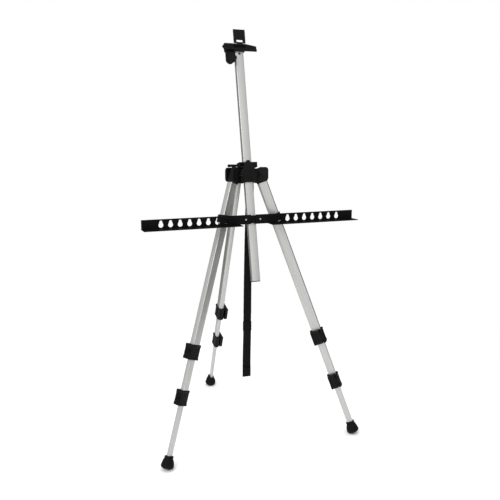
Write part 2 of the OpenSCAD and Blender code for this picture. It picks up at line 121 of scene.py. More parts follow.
@dataclass(frozen=True)
class Stand:
    """The stand's own sizes and the frames of its parts."""

    pivot_h: float = 645.0
    pivot_r: float = 36.0
    front_splay: float = 20.6
    rear_splay: float = 21.4
    foot_r: float = 15.0
    foot_edge: float = 5.0
    lean: float = 11.7
    mast_fwd: float = 22.5
    bar_z: float = 532.0
    bar_fwd: float = 58.9
    sheet: float = 1.5
    upper_len: float = 422.0

    def reach(self, splay: float) -> float:
        """Distance from the centre line to a foot's middle, at the height of its rounded edge."""
        slant = math.radians(splay)
        drop = self.pivot_h - self.foot_edge - (self.foot_r - self.foot_edge) * math.sin(slant)
        return self.pivot_r + drop * math.tan(slant)

    @property
    def axis_y(self) -> float:
        """Where the centre line stands, so that the footprint's middle is the origin."""
        return -(self.reach(self.rear_splay) - self.reach(self.front_splay) / 2) / 2

    def splay(self, side: Side) -> float:
        """Opening angle of a leg."""
        return self.rear_splay if side is Side.REAR else self.front_splay

    def leg_end(self, side: Side) -> float:
        """Distance down a leg from its pivot to the floor end of its foot."""
        splay = self.splay(side)
        return self.foot_edge + (self.reach(splay) - self.pivot_r) / math.sin(math.radians(splay))

    def lower_collar(self, side: Side) -> float:
        """Distance down a leg from its pivot to the middle of its lower collar."""
        drawn = {Side.LEFT: 105.0, Side.RIGHT: 120.0, Side.REAR: 100.0}
        return self.upper_len + drawn[side]

    def leg(self, side: Side) -> Placement:
        """Frame of a leg: origin on its pivot, -Z down the leg, +X outwards."""
        azimuth = turn(2, {Side.LEFT: 210.0, Side.RIGHT: 330.0, Side.REAR: 90.0}[side])
        pivot = azimuth @ np.array([self.pivot_r, 0.0, 0.0])
        origin = (pivot[0], pivot[1] + self.axis_y, self.pivot_h)
        return Placement(origin, azimuth @ turn(1, -self.splay(side)))

    @property
    def hub(self) -> Placement:
        """Frame of the hub: origin on the centre line at pivot height."""
        return Placement((0.0, self.axis_y, self.pivot_h), np.eye(3))

    def ears(self, side: Side) -> Placement:
        """Frame of a leg's ears: origin on the centre line at pivot height, +X outwards."""
        azimuth = turn(2, {Side.LEFT: 210.0, Side.RIGHT: 330.0, Side.REAR: 90.0}[side])
        return Placement((0.0, self.axis_y, self.pivot_h), azimuth)

    @property
    def mast(self) -> Placement:
        """Frame of the mast: origin near its tilt axis, Z up along the mast."""
        return Placement((0.0, self.axis_y - self.mast_fwd, self.pivot_h), turn(0, -self.lean))

    @property
    def bar(self) -> Placement:
        """Frame of the canvas bar: origin at the flange's back face, at its underside."""
        return Placement((0.0, self.axis_y - self.bar_fwd + self.sheet / 2, self.bar_z), np.eye(3))


STAND = Stand()


# ---------------------------------------------------------------- outlines and surfaces


def filleted(corners: Array | Rows, radii: Array | Rows, steps: int = 6) -> Array:
    """Outlines whose corners are rounded by circular arcs.

    A corner C with edge directions u and v is left at A = C + u r tan(t/2) and joined again
    at B = C + v r tan(t/2), t being the angle that the outline turns by. Between them runs the
    rational quadratic ((1-s)^2 A + 2 w s (1-s) C + s^2 B) / ((1-s)^2 + 2 w s (1-s) + s^2) with
    w = cos(t/2), which is an exact arc.

    Args:
        corners: the corners, (..., k, 2), in order round the outline.
        radii: the radius of each corner, (..., k).
        steps: points on each arc.

    Returns:
        The outlines' points, (..., k * steps, 2).
    """
    c = np.asarray(corners, float)
    r = np.broadcast_to(np.asarray(radii, float), c.shape[:-1])[..., None]
    back, ahead = np.roll(c, 1, axis=-2) - c, np.roll(c, -1, axis=-2) - c
    u = back / np.linalg.norm(back, axis=-1, keepdims=True)
    v = ahead / np.linalg.norm(ahead, axis=-1, keepdims=True)
    inner = np.arccos(np.clip((u * v).sum(-1, keepdims=True), -1, 1))
    half = (np.pi - inner) / 2
    a, b, w = c + u * r * np.tan(half), c + v * r * np.tan(half), np.cos(half)
    s = np.linspace(0, 1, steps)[:, None]
    p0, p1, p2 = (1 - s) ** 2, 2 * s * (1 - s), s**2
    a, b, c, w = (m[..., None, :] for m in (a, b, c, w))
    points = (p0 * a + p1 * w * c + p2 * b) / (p0 + p1 * w + p2)
    return points.reshape(*points.shape[:-3], -1, 2)


def box_outline(x0: Array, x1: Array, y0: Array, y1: Array, radii: Array, steps: int = 6) -> Array:
    """Rectangles with rounded corners, one for each entry, anticlockwise from (x0, y0).

    Args:
        x0, x1, y0, y1: the sides of each rectangle.
        radii: the four corner radii of each, (m, 4).
        steps: points on each corner.

    Returns:
        The outlines, (m, 4 * steps, 2).
    """
    rows = np.zeros(np.shape(radii)[:-1])
    x0, x1, y0, y1 = (np.asarray(v, float) + rows for v in (x0, x1, y0, y1))
    corners = np.stack(
        [np.stack(p, -1) for p in ((x0, y0), (x1, y0), (x1, y1), (x0, y1))], axis=-2
    )
    return filleted(corners, np.asarray(radii, float), steps)


def tube_outline(w: float, t: float, grow: Array | float = 0.0, corner: float = 1.4) -> Array:
    """Leg-tube sections: a round inner end of radius t/2 and a flat outer end.

    Args:
        w: size from the round end to the flat end.
        t: thickness.
        grow: how far each section stands outside that size.
        corner: radius of the two corners of the flat end.

    Returns:
        The outlines, (m, 32, 2).
    """
    g = np.atleast_1d(np.asarray(grow, float))
    round_end, flat_end = t / 2 + g, np.maximum(corner + g, 0.25)
    radii = np.stack([round_end * 0.999, flat_end, flat_end, round_end * 0.999], -1)
    return box_outline(-w / 2 - g, w / 2 + g, -t / 2 - g, t / 2 + g, radii, 8)


def carried(outlines: Array, along: Array | Sequence[float], plane: Plane = Plane.XY) -> Array:
    """Outlines set one after another along the axis across their plane.

    Args:
        outlines: one outline for all, (n, 2), or one for each place, (m, n, 2).
        along: the places, (m,).
        plane: the plane that the outlines are drawn in.

    Returns:
        The grid of points, (m, n, 3).
    """
    z = np.asarray(along, float)
    flat = np.broadcast_to(outlines, (len(z), *np.shape(outlines)[-2:]))
    grid = np.empty((*flat.shape[:2], 3))
    a, b, c = plane.value
    grid[..., a], grid[..., b], grid[..., c] = flat[..., 0], flat[..., 1], z[:, None]
    return grid


def turned(radii: Array | Sequence[float], heights: Array | Sequence[float], plane: Plane, sides: int = 40,
           shape: Callable[[Array, Array], Array] | None = None) -> Array:
    """A profile turned round an axis: the point at angle a is r (cos a, sin a) at its height.

    Args:
        radii: the profile's radii.
        heights: the profile's heights along the axis.
        plane: the plane that the circles lie in.
        sides: points on each circle.
        shape: factor on the radius, from the profile index column and the angle row.

    Returns:
        The grid of points, (m, sides, 3).
    """
    angle = np.linspace(0, 2 * np.pi, sides, endpoint=False)[None, :]
    r = np.asarray(radii, float)[:, None] * np.ones_like(angle)
    if shape is not None:
        r = r * shape(np.arange(len(r))[:, None], angle)
    return carried(np.stack([r * np.cos(angle), r * np.sin(angle)], -1), heights, plane)


def hexagon(angle: Array, across: float, corner: float = 0.96) -> Array:
    """Radius of a hexagon at each angle: half its width over cos of the angle to the nearest flat."""
    flat = (angle + np.pi / 6) % (np.pi / 3) - np.pi / 6
    return across / 2 * np.minimum(1 / np.cos(flat), 1 / math.cos(math.pi / 6) * corner)


def grid_quads(rows: int, cols: int, join_rows: bool) -> Array:
    """Quads of a grid that closes on itself across its columns.

    Args:
        rows: outlines carried.
        cols: points on each.
        join_rows: whether the last outline is joined to the first.

    Returns:
        Point numbers, (faces, 4).
    """
    i = np.arange(rows if join_rows else rows - 1)[:, None]
    j = np.arange(cols)[None, :]
    ni, nj = (i + 1) % rows, (j + 1) % cols
    return np.stack([i * cols + j, i * cols + nj, ni * cols + nj, ni * cols + j], -1).reshape(-1, 4)


@dataclass
class Surfaces:
    """Grids gathered into one mesh, which becomes one piece."""

    points: list[Array] = field(default_factory=list)
    faces: list[list[int]] = field(default_factory=list)
    count: int = 0

    def add(self, grid: Array, ends: Ends = Ends.CAPPED) -> "Surfaces":
        """Adds a grid of outlines.

        Args:
            grid: the points, (m, n, 3).
            ends: flat ends, or joined to the start.

        Returns:
            This object.
        """
        rows, cols = grid.shape[:2]
        quads = grid_quads(rows, cols, ends is Ends.JOINED) + self.count
        self.faces += quads.tolist()
        if ends is Ends.CAPPED:
            last = self.count + (rows - 1) * cols
            self.faces.append(list(range(self.count + cols - 1, self.count - 1, -1)))
            self.faces.append(list(range(last, last + cols)))
        self.points.append(grid.reshape(-1, 3))
        self.count += rows * cols
        return self

    def mesh(self, name: str, place: Placement, sharp: float = 32.0) -> bpy.types.Object:
        """The gathered grids as an object at the origin, with outward faces and crisp edges.

        Args:
            name: the piece's name.
            place: the frame that the grids are drawn in.
            sharp: edges that turn by more than this many degrees stay sharp.

        Returns:
            The new object.
        """
        data = bpy.data.meshes.new(name)
        data.from_pydata(place.out(np.vstack(self.points)).tolist(), [], self.faces)
        bm = bmesh.new()
        bm.from_mesh(data)
        bmesh.ops.remove_doubles(bm, verts=bm.verts, dist=2e-6)
        bmesh.ops.recalc_face_normals(bm, faces=bm.faces)
        bm.to_mesh(data)
        bm.free()
        smooth_but_crisp(data, sharp)
        piece = bpy.data.objects.new(name, data)
        bpy.context.scene.collection.objects.link(piece)
        return piece


def smooth_but_crisp(data: bpy.types.Mesh, degrees: float) -> None:
    """Shades a mesh smooth, and keeps the edges sharp that turn by more than an angle.

    Args:
        data: the mesh.
        degrees: that angle.
    """
    data.polygons.foreach_set("use_smooth", np.ones(len(data.polygons), bool))
    data.set_sharp_from_angle(angle=math.radians(degrees))
    data.update()


def softened(node: str, name: str, edge: float) -> bpy.types.Object:
    """A copy of a CAD node with its edges broken, as a moulding's or a casting's are.

    Args:
        node: the CAD node.
        name: the new piece's name.
        edge: width of the broken edges, in millimetres.

    Returns:
        The new object, with a live Bevel.
    """
    data = frame["nodes"][node].data.copy()
    data.materials.clear()
    bm = bmesh.new()
    bm.from_mesh(data)
    bmesh.ops.remove_doubles(bm, verts=bm.verts, dist=2e-6)
    bmesh.ops.dissolve_limit(bm, angle_limit=math.radians(0.8), verts=bm.verts, edges=bm.edges)
    bm.to_mesh(data)
    bm.free()
    smooth_but_crisp(data, 32)
    piece = bpy.data.objects.new(name, data)
    bpy.context.scene.collection.objects.link(piece)
    bevel = piece.modifiers.new("broken_edges", "BEVEL")
    bevel.width, bevel.segments, bevel.limit_method = edge * MM, 3, "ANGLE"
    bevel.angle_limit = math.radians(38)
    bevel.harden_normals = True
    return piece


# ---------------------------------------------------------------- finishes


class Recipe:
    """A material being mixed: its node tree, and short ways to add to it."""

    def __init__(self, name: str) -> None:
        """Starts an empty material with one shader."""
        self.material = bpy.data.materials.new(name)
        self.material.use_nodes = True
        self.tree = self.material.node_tree
        self.shader = self.tree.nodes["Principled BSDF"]

    def set(self, **values: object) -> None:
        """Sets the shader's own sockets; an underscore stands for a space."""
        for key, value in values.items():
            self.shader.inputs[key.replace("_", " ")].default_value = value

    def node(self, kind: str, **inputs: object) -> bpy.types.Node:
        """Adds a node and fills or links its inputs.

        Args:
            kind: the node's class without its ShaderNode prefix.
            inputs: values, or sockets to link from; an underscore stands for a space.

        Returns:
            The node.
        """
        made = self.tree.nodes.new("ShaderNode" + kind)
        for key, value in inputs.items():
            socket = made.inputs[int(key[1:]) if key[1:].isdigit() else key.replace("_", " ")]
            self.feed(socket, value)
        return made

    def feed(self, socket: bpy.types.NodeSocket, value: object) -> None:
        """Links a socket to another, or sets it to a plain value."""
        if isinstance(value, bpy.types.NodeSocket):
            self.tree.links.new(value, socket)
        else:
            socket.default_value = value

    def coordinates(self, scale: tuple[float, float, float] = (1, 1, 1),
                    axes: Array | None = None) -> bpy.types.NodeSocket:
        """Texture coordinates, turned into a part's own frame and stretched.

        Args:
            scale: factor along each axis of that frame.
            axes: the frame's axes as matrix columns; none leaves the easel's own.

        Returns:
            The vector socket.
        """
        vector = self.node("TexCoord").outputs["Object"]
        if axes is not None:
            quarter = self.node("Mapping", Vector=vector)
            quarter.inputs["Rotation"].default_value = Matrix(axes.T.tolist()).to_euler("XYZ")
            vector = quarter.outputs[0]
        stretch = self.node("Mapping", Vector=vector)
        stretch.inputs["Scale"].default_value = scale
        return stretch.outputs[0]

    def noise(self, vector: bpy.types.NodeSocket, scale: float, detail: float = 3.0,
              rough: float = 0.55) -> bpy.types.NodeSocket:
        """Value of a noise pattern.

        Args:
            vector: where the pattern is read.
            scale, detail, rough: its fineness, its octaves and their weight.

        Returns:
            The value socket.
        """
        made = self.node("TexNoise", Vector=vector, Scale=scale, Detail=detail, Roughness=rough)
        return made.outputs["Fac"]

    def remap(self, value: bpy.types.NodeSocket, low: float, high: float, to_low: float,
              to_high: float) -> bpy.types.NodeSocket:
        """Maps one range to another, and holds the value inside it.

        Args:
            value: the value socket.
            low, high: the range that it comes in.
            to_low, to_high: the range that it leaves in.

        Returns:
            The mapped value.
        """
        made = self.node("MapRange", Value=value)
        for key, number in zip(("From Min", "From Max", "To Min", "To Max"), (low, high, to_low, to_high)):
            made.inputs[key].default_value = number
        return made.outputs[0]

    def blend(self, factor: bpy.types.NodeSocket, a: Tone, b: Tone) -> bpy.types.NodeSocket:
        """Mixes two colours.

        Args:
            factor: 0 for the first, 1 for the second.
            a, b: the colours.

        Returns:
            The colour socket.
        """
        made = self.node("Mix", Factor=factor)
        made.data_type = "RGBA"
        made.inputs[6].default_value = (*a, 1)
        made.inputs[7].default_value = (*b, 1)
        self.tree.links.new(factor, made.inputs[0])
        return made.outputs[2]

    def math(self, operation: str, a: object, b: object = 0.0) -> bpy.types.NodeSocket:
        """One arithmetic step.

        Args:
            operation: the Math node's operation.
            a, b: numbers or sockets.

        Returns:
            The result.
        """
        made = self.tree.nodes.new("ShaderNodeMath")
        made.operation = operation
        self.feed(made.inputs[0], a)
        self.feed(made.inputs[1], b)
        return made.outputs[0]

    def emboss(self, height: bpy.types.NodeSocket, depth: float, strength: float) -> None:
        """Bumps the surface by a height pattern, depth being in millimetres."""
        made = self.node("Bump", Height=height, Strength=strength, Distance=depth * MM)
        self.tree.links.new(made.outputs[0], self.shader.inputs["Normal"])

    def tint(self, value: bpy.types.NodeSocket, low: float, high: float, dark: Tone, light: Tone) -> None:
        """Colours the surface from dark to light as a pattern goes from low to high."""
        tone = self.blend(self.remap(value, low, high, 0, 1), dark, light)
        self.feed(self.shader.inputs["Base Color"], tone)

    def roughen(self, value: bpy.types.NodeSocket, low: float, high: float, least: float,
                most: float) -> None:
        """Takes the roughness from least to most as a pattern goes from low to high."""
        self.feed(self.shader.inputs["Roughness"], self.remap(value, low, high, least, most))


@dataclass(frozen=True)
class DrawnAluminium:
    """Clear-anodised drawn tube: satin, with faint lines along its length."""

    light: tuple[float, float, float] = (0.54, 0.54, 0.53)
    dark: tuple[float, float, float] = (0.45, 0.45, 0.44)
    roughness: float = 0.38

    def material(self, name: str, place: Placement) -> bpy.types.Material:
        """Mixes the finish for a tube that runs along a placement's Z."""
        mix = Recipe(name)
        along = mix.coordinates((1, 1, 0.012), place.axes)
        drawn = mix.noise(along, 900, 4, 0.6)
        broad = mix.noise(mix.coordinates((1, 1, 0.2), place.axes), 45, 2)
        scuffs = mix.noise(mix.coordinates((1, 1, 0.05), place.axes), 2600, 1)
        mix.set(Metallic=0.82, IOR=1.5)
        mix.tint(drawn, 0.3, 0.7, self.dark, self.light)
        rough = mix.math("ADD", mix.remap(broad, 0.3, 0.7, self.roughness - 0.04, self.roughness + 0.05),
                         mix.remap(scuffs, 0.62, 0.75, 0.0, 0.1))
        mix.feed(mix.shader.inputs["Roughness"], rough)
        mix.emboss(drawn, 0.03, 0.35)
        return mix.material


@dataclass(frozen=True)
class MouldedPlastic:
    """Black moulded plastic with a fine spark-eroded texture."""

    tone: float
    roughness: float
    grain: float

    def material(self, name: str) -> bpy.types.Material:
        """Mixes the finish."""
        mix = Recipe(name)
        here = mix.coordinates()
        grain = mix.noise(here, 1500, 3, 0.7)
        flow = mix.noise(here, 38, 3)
        t = self.tone
        mix.tint(flow, 0.3, 0.7, (t * 0.8, t * 0.8, t * 0.82), (t * 1.3, t * 1.3, t * 1.28))
        r = self.roughness
        mix.roughen(flow, 0.25, 0.75, r - 0.05, r + 0.07)
        mix.set(IOR=1.5, Specular_IOR_Level=0.1)
        mix.emboss(grain, self.grain, 0.5)
        return mix.material


@dataclass(frozen=True)
class PowderCoat:
    """Satin black powder coat on sheet steel, with its orange-peel surface and lighter rubbed patches at
    random.
    """

    tone: float = 0.004

    def material(self, name: str) -> bpy.types.Material:
        """Mixes the finish."""
        mix = Recipe(name)
        here = mix.coordinates()
        peel = mix.noise(here, 520, 2, 0.5)
        handling = mix.noise(mix.coordinates((0.25, 1, 1)), 90, 4, 0.65)
        t = self.tone
        mix.tint(handling, 0.55, 0.75, (t, t, t * 1.05), (t * 2.2, t * 2.2, t * 2.3))
        mix.roughen(handling, 0.35, 0.7, 0.30, 0.44)
        mix.set(IOR=1.5, Specular_IOR_Level=0.05)
        mix.emboss(peel, 0.05, 0.45)
        return mix.material


@dataclass(frozen=True)
class ZincPlate:
    """Bright zinc-plated steel with a faint mottle."""

    def material(self, name: str) -> bpy.types.Material:
        """Mixes the finish."""
        mix = Recipe(name)
        mottle = mix.noise(mix.coordinates(), 420, 3)
        mix.tint(mottle, 0.3, 0.7, (0.34, 0.35, 0.36), (0.46, 0.46, 0.47))
        mix.roughen(mottle, 0.3, 0.7, 0.22, 0.36)
        mix.set(Metallic=1.0)
        return mix.material


@dataclass(frozen=True)
class FootRubber:
    """Matt black rubber, dusty where it meets the floor."""

    def material(self, name: str) -> bpy.types.Material:
        """Mixes the finish."""
        mix = Recipe(name)
        here = mix.coordinates()
        speck = mix.noise(here, 700, 4, 0.7)
        height = mix.node("SeparateXYZ", Vector=here).outputs[2]
        dust = mix.math("MULTIPLY", mix.remap(height, 0.0, 0.012, 1, 0), mix.remap(speck, 0.4, 0.7, 0.2, 1))
        mix.feed(mix.shader.inputs["Base Color"],
                 mix.blend(dust, (0.006, 0.006, 0.006), (0.03, 0.029, 0.027)))
        mix.roughen(speck, 0.3, 0.7, 0.62, 0.8)
        mix.set(IOR=1.45, Specular_IOR_Level=0.08)
        mix.emboss(speck, 0.06, 0.4)
        return mix.material


@dataclass(frozen=True)
class NylonWebbing:
    """Woven nylon webbing: ribs across the width and a chevron of threads."""

    tone: float = 0.004
    pick: float = 1.3
    end: float = 1.1

    def material(self, name: str) -> bpy.types.Material:
        """Mixes the finish; the piece's UV map is its width and length in metres."""
        mix = Recipe(name)
        uv = mix.node("TexCoord").outputs["UV"]
        parts = mix.node("SeparateXYZ", Vector=uv)
        across, along = parts.outputs[0], parts.outputs[1]
        column = mix.math("FRACT", mix.math("DIVIDE", across, 0.0052))
        lean = mix.math("ABSOLUTE", mix.math("SUBTRACT", column, 0.5))
        shifted = mix.math("ADD", along, mix.math("MULTIPLY", lean, 0.0030))
        picks = mix.math("SINE", mix.math("MULTIPLY", shifted, 2 * math.pi / (self.pick * MM)))
        ends = mix.math("SINE", mix.math("MULTIPLY", across, 2 * math.pi / (self.end * MM)))
        weave = mix.math("MULTIPLY", mix.math("ADD", picks, 1.0), mix.math("ADD", ends, 1.6))
        fuzz = mix.noise(mix.coordinates(), 2200, 2)
        height = mix.math("ADD", weave, fuzz)
        t = self.tone
        mix.tint(weave, 0.2, 4.2, (t * 0.45,) * 3, (t * 1.5, t * 1.5, t * 1.55))
        mix.roughen(fuzz, 0.3, 0.7, 0.55, 0.72)
        mix.set(IOR=1.45, Specular_IOR_Level=0.12)
        mix.emboss(height, 0.12, 0.8)
        return mix.material


@dataclass(frozen=True)
class HookAndLoop:
    """The fuzzy loop side of a hook-and-loop patch."""

    def material(self, name: str) -> bpy.types.Material:
        """Mixes the finish."""
        mix = Recipe(name)
        here = mix.coordinates()
        loops = mix.node("TexVoronoi", Vector=here, Scale=1300.0).outputs["Distance"]
        fuzz = mix.noise(here, 2500, 3, 0.7)
        mix.tint(loops, 0.1, 0.6, (0.008, 0.008, 0.008), (0.003, 0.003, 0.003))
        mix.roughen(fuzz, 0.3, 0.7, 0.8, 0.95)
        mix.set(Specular_IOR_Level=0.1)
        mix.emboss(mix.math("ADD", loops, fuzz), 0.25, 0.9)
        return mix.material


@dataclass(frozen=True)
class Coat:
    """A mixed material and the record's slot that it fills."""

    slot: str
    material: bpy.types.Material


@dataclass
class Palette:
    """The easel's coats, each mixed once."""

    hub: Coat = field(init=False)
    clamp: Coat = field(init=False)
    collar: Coat = field(init=False)
    lever: Coat = field(init=False)
    insert: Coat = field(init=False)
    sleeve: Coat = field(init=False)
    steel: Coat = field(init=False)
    zinc: Coat = field(init=False)
    rubber: Coat = field(init=False)
    webbing: Coat = field(init=False)
    thread: Coat = field(init=False)
    patch: Coat = field(init=False)
    tubes: dict[str, Coat] = field(init=False)

    def __post_init__(self) -> None:
        """Mixes them all."""
        self.hub = Coat("hub_plastic", MouldedPlastic(0.005, 0.48, 0.07).material("hub_moulding"))
        self.clamp = Coat("clamp_plastic", MouldedPlastic(0.005, 0.46, 0.06).material("clamp_moulding"))
        self.collar = Coat("collar_plastic", MouldedPlastic(0.004, 0.40, 0.05).material("collar_moulding"))
        self.lever = Coat("lever_plastic", MouldedPlastic(0.004, 0.30, 0.02).material("lever_moulding"))
        self.insert = Coat("insert_plastic", MouldedPlastic(0.015, 0.55, 0.03).material("insert_moulding"))
        self.steel = Coat("black_steel", PowderCoat().material("black_powder_coat"))
        self.zinc = Coat("zinc_steel", ZincPlate().material("bright_zinc"))
        self.rubber = Coat("foot_rubber", FootRubber().material("foot_rubber"))
        self.webbing = Coat("webbing", NylonWebbing().material("nylon_webbing"))
        self.thread = Coat("webbing", MouldedPlastic(0.012, 0.6, 0.02).material("bonded_thread"))
        self.patch = Coat("webbing", HookAndLoop().material("loop_pile"))
        self.sleeve = Coat("insert_plastic", self.hub.material)
        places = {**{side.value: STAND.leg(side) for side in Side}, "mast": STAND.mast}
        self.tubes = {
            name: Coat("aluminium_tube", DrawnAluminium().material(f"{name}_drawn_tube", place))
            for name, place in places.items()
        }


def fit(piece: bpy.types.Object, body: str, coat: Coat, *nodes: str) -> None:
    """Fits a finished piece to the easel: its finish, its body, and the CAD nodes it stands for.

    Args:
        piece: the piece, in its place.
        body: the body it moves with.
        coat: its finish.
        nodes: the CAD nodes that it replaces.
    """
    piece.data.materials.clear()
    piece.data.materials.append(coat.material)
    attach(piece, body)
    if nodes:
        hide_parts(*nodes)
    LOG.info("%s: %d points, rides on %s", piece.name, len(piece.data.vertices), body)


def fit_softened(node: str, name: str, edge: float, body: str, coat: Coat) -> None:
    """Fits a copy of a CAD node with broken edges in the node's place.

    Args:
        node: the CAD node.
        name: the new piece's name.
        edge: width of the broken edges, in millimetres.
        body: the body it moves with.
        coat: its finish.
    """
    fit(softened(node, name, edge), body, coat, node)


# ---------------------------------------------------------------- camera, floor and light


@dataclass(frozen=True)
class Studio:
    """A pale floor, soft lights, dim flags for the reflections, and the camera."""

    eye: tuple[float, float, float] = (-0.5352, -1.4661, 0.7358)
    look: tuple[float, float, float] = (0.3614, 0.9145, -0.1819)
    lens: float = 44.6
    flag: float = 0.12

    def build(self) -> None:
        """Sets up the camera, the floor, the lights and the surroundings."""
        scene = bpy.context.scene
        camera = bpy.data.objects.new("camera", bpy.data.cameras.new("camera"))
        camera.data.lens, camera.data.sensor_width = self.lens, 36.0
        camera.location = self.eye
        camera.rotation_mode = "QUATERNION"
        camera.rotation_quaternion = Vector(self.look).to_track_quat("-Z", "Y")
        scene.collection.objects.link(camera)
        scene.camera = camera
        self.floor()
        self.lamp("key", (-1.9, -1.6, 2.2), 1.4, 34)
        self.lamp("fill", (0.6, -2.4, 1.6), 2.0, 5)
        self.lamp("top", (0.3, 0.6, 3.0), 2.5, 16)
        scene.view_settings.view_transform = "Standard"
        scene.world = self.surroundings()

    def surroundings(self) -> bpy.types.World:
        """A white sky, with dim flags to the right and behind that only reflections see.

        Returns:
            The world.
        """
        world = bpy.data.worlds.new("studio")
        world.use_nodes = True
        nodes, links = world.node_tree.nodes, world.node_tree.links
        parts = nodes.new("ShaderNodeSeparateXYZ")
        links.new(nodes.new("ShaderNodeTexCoord").outputs["Generated"], parts.inputs[0])
        flags = []
        for axis, low, high in ((0, 0.25, 0.75), (1, 0.1, 0.6)):
            ramp = nodes.new("ShaderNodeMapRange")
            ramp.interpolation_type = "SMOOTHSTEP"
            links.new(parts.outputs[axis], ramp.inputs["Value"])
            limits = {"From Min": low, "From Max": high, "To Min": 1.0, "To Max": self.flag}
            for name, value in limits.items():
                ramp.inputs[name].default_value = value
            flags.append(ramp.outputs[0])
        dim, bare, strength = (nodes.new("ShaderNodeMath") for _ in range(3))
        dim.operation, bare.operation, strength.operation = "MINIMUM", "SUBTRACT", "MAXIMUM"
        links.new(flags[0], dim.inputs[0])
        links.new(flags[1], dim.inputs[1])
        bare.inputs[0].default_value = 1.0
        links.new(nodes.new("ShaderNodeLightPath").outputs["Is Glossy Ray"], bare.inputs[1])
        links.new(dim.outputs[0], strength.inputs[0])
        links.new(bare.outputs[0], strength.inputs[1])
        links.new(strength.outputs[0], nodes["Background"].inputs["Strength"])
        nodes["Background"].inputs["Color"].default_value = (1, 1, 1, 1)
        return world

    def floor(self) -> None:
        """A wide round floor."""
        rings = turned([0.95e3, 0.95e3], [-30.0, 0.0], Plane.XY, 96)
        made = Surfaces().add(rings).mesh("floor", Placement((0.0, 0.0, 0.0), np.eye(3)))
        mix = Recipe("floor_paper")
        grain = mix.noise(mix.coordinates(), 60, 3)
        mix.feed(mix.shader.inputs["Base Color"], mix.blend(grain, (0.90, 0.90, 0.90), (0.93, 0.93, 0.93)))
        mix.set(Roughness=0.95, Specular_IOR_Level=0.1)
        made.data.materials.append(mix.material)

    def lamp(self, name: str, spot: tuple[float, float, float], size: float, watts: float) -> None:
        """A square soft light that looks at the middle of the easel.

        Args:
            name: the lamp's name.
            spot: where it stands, in metres.
            size: its width, in metres.
            watts: its power.
        """
        light = bpy.data.lights.new(name, "AREA")
        light.size, light.energy = size, watts
        lamp = bpy.data.objects.new(name, light)
        lamp.location = spot
        lamp.rotation_mode = "QUATERNION"
        lamp.rotation_quaternion = (Vector((0, 0, 0.5)) - Vector(spot)).to_track_quat("-Z", "Y")
        bpy.context.scene.collection.objects.link(lamp)


# ---------------------------------------------------------------- strap


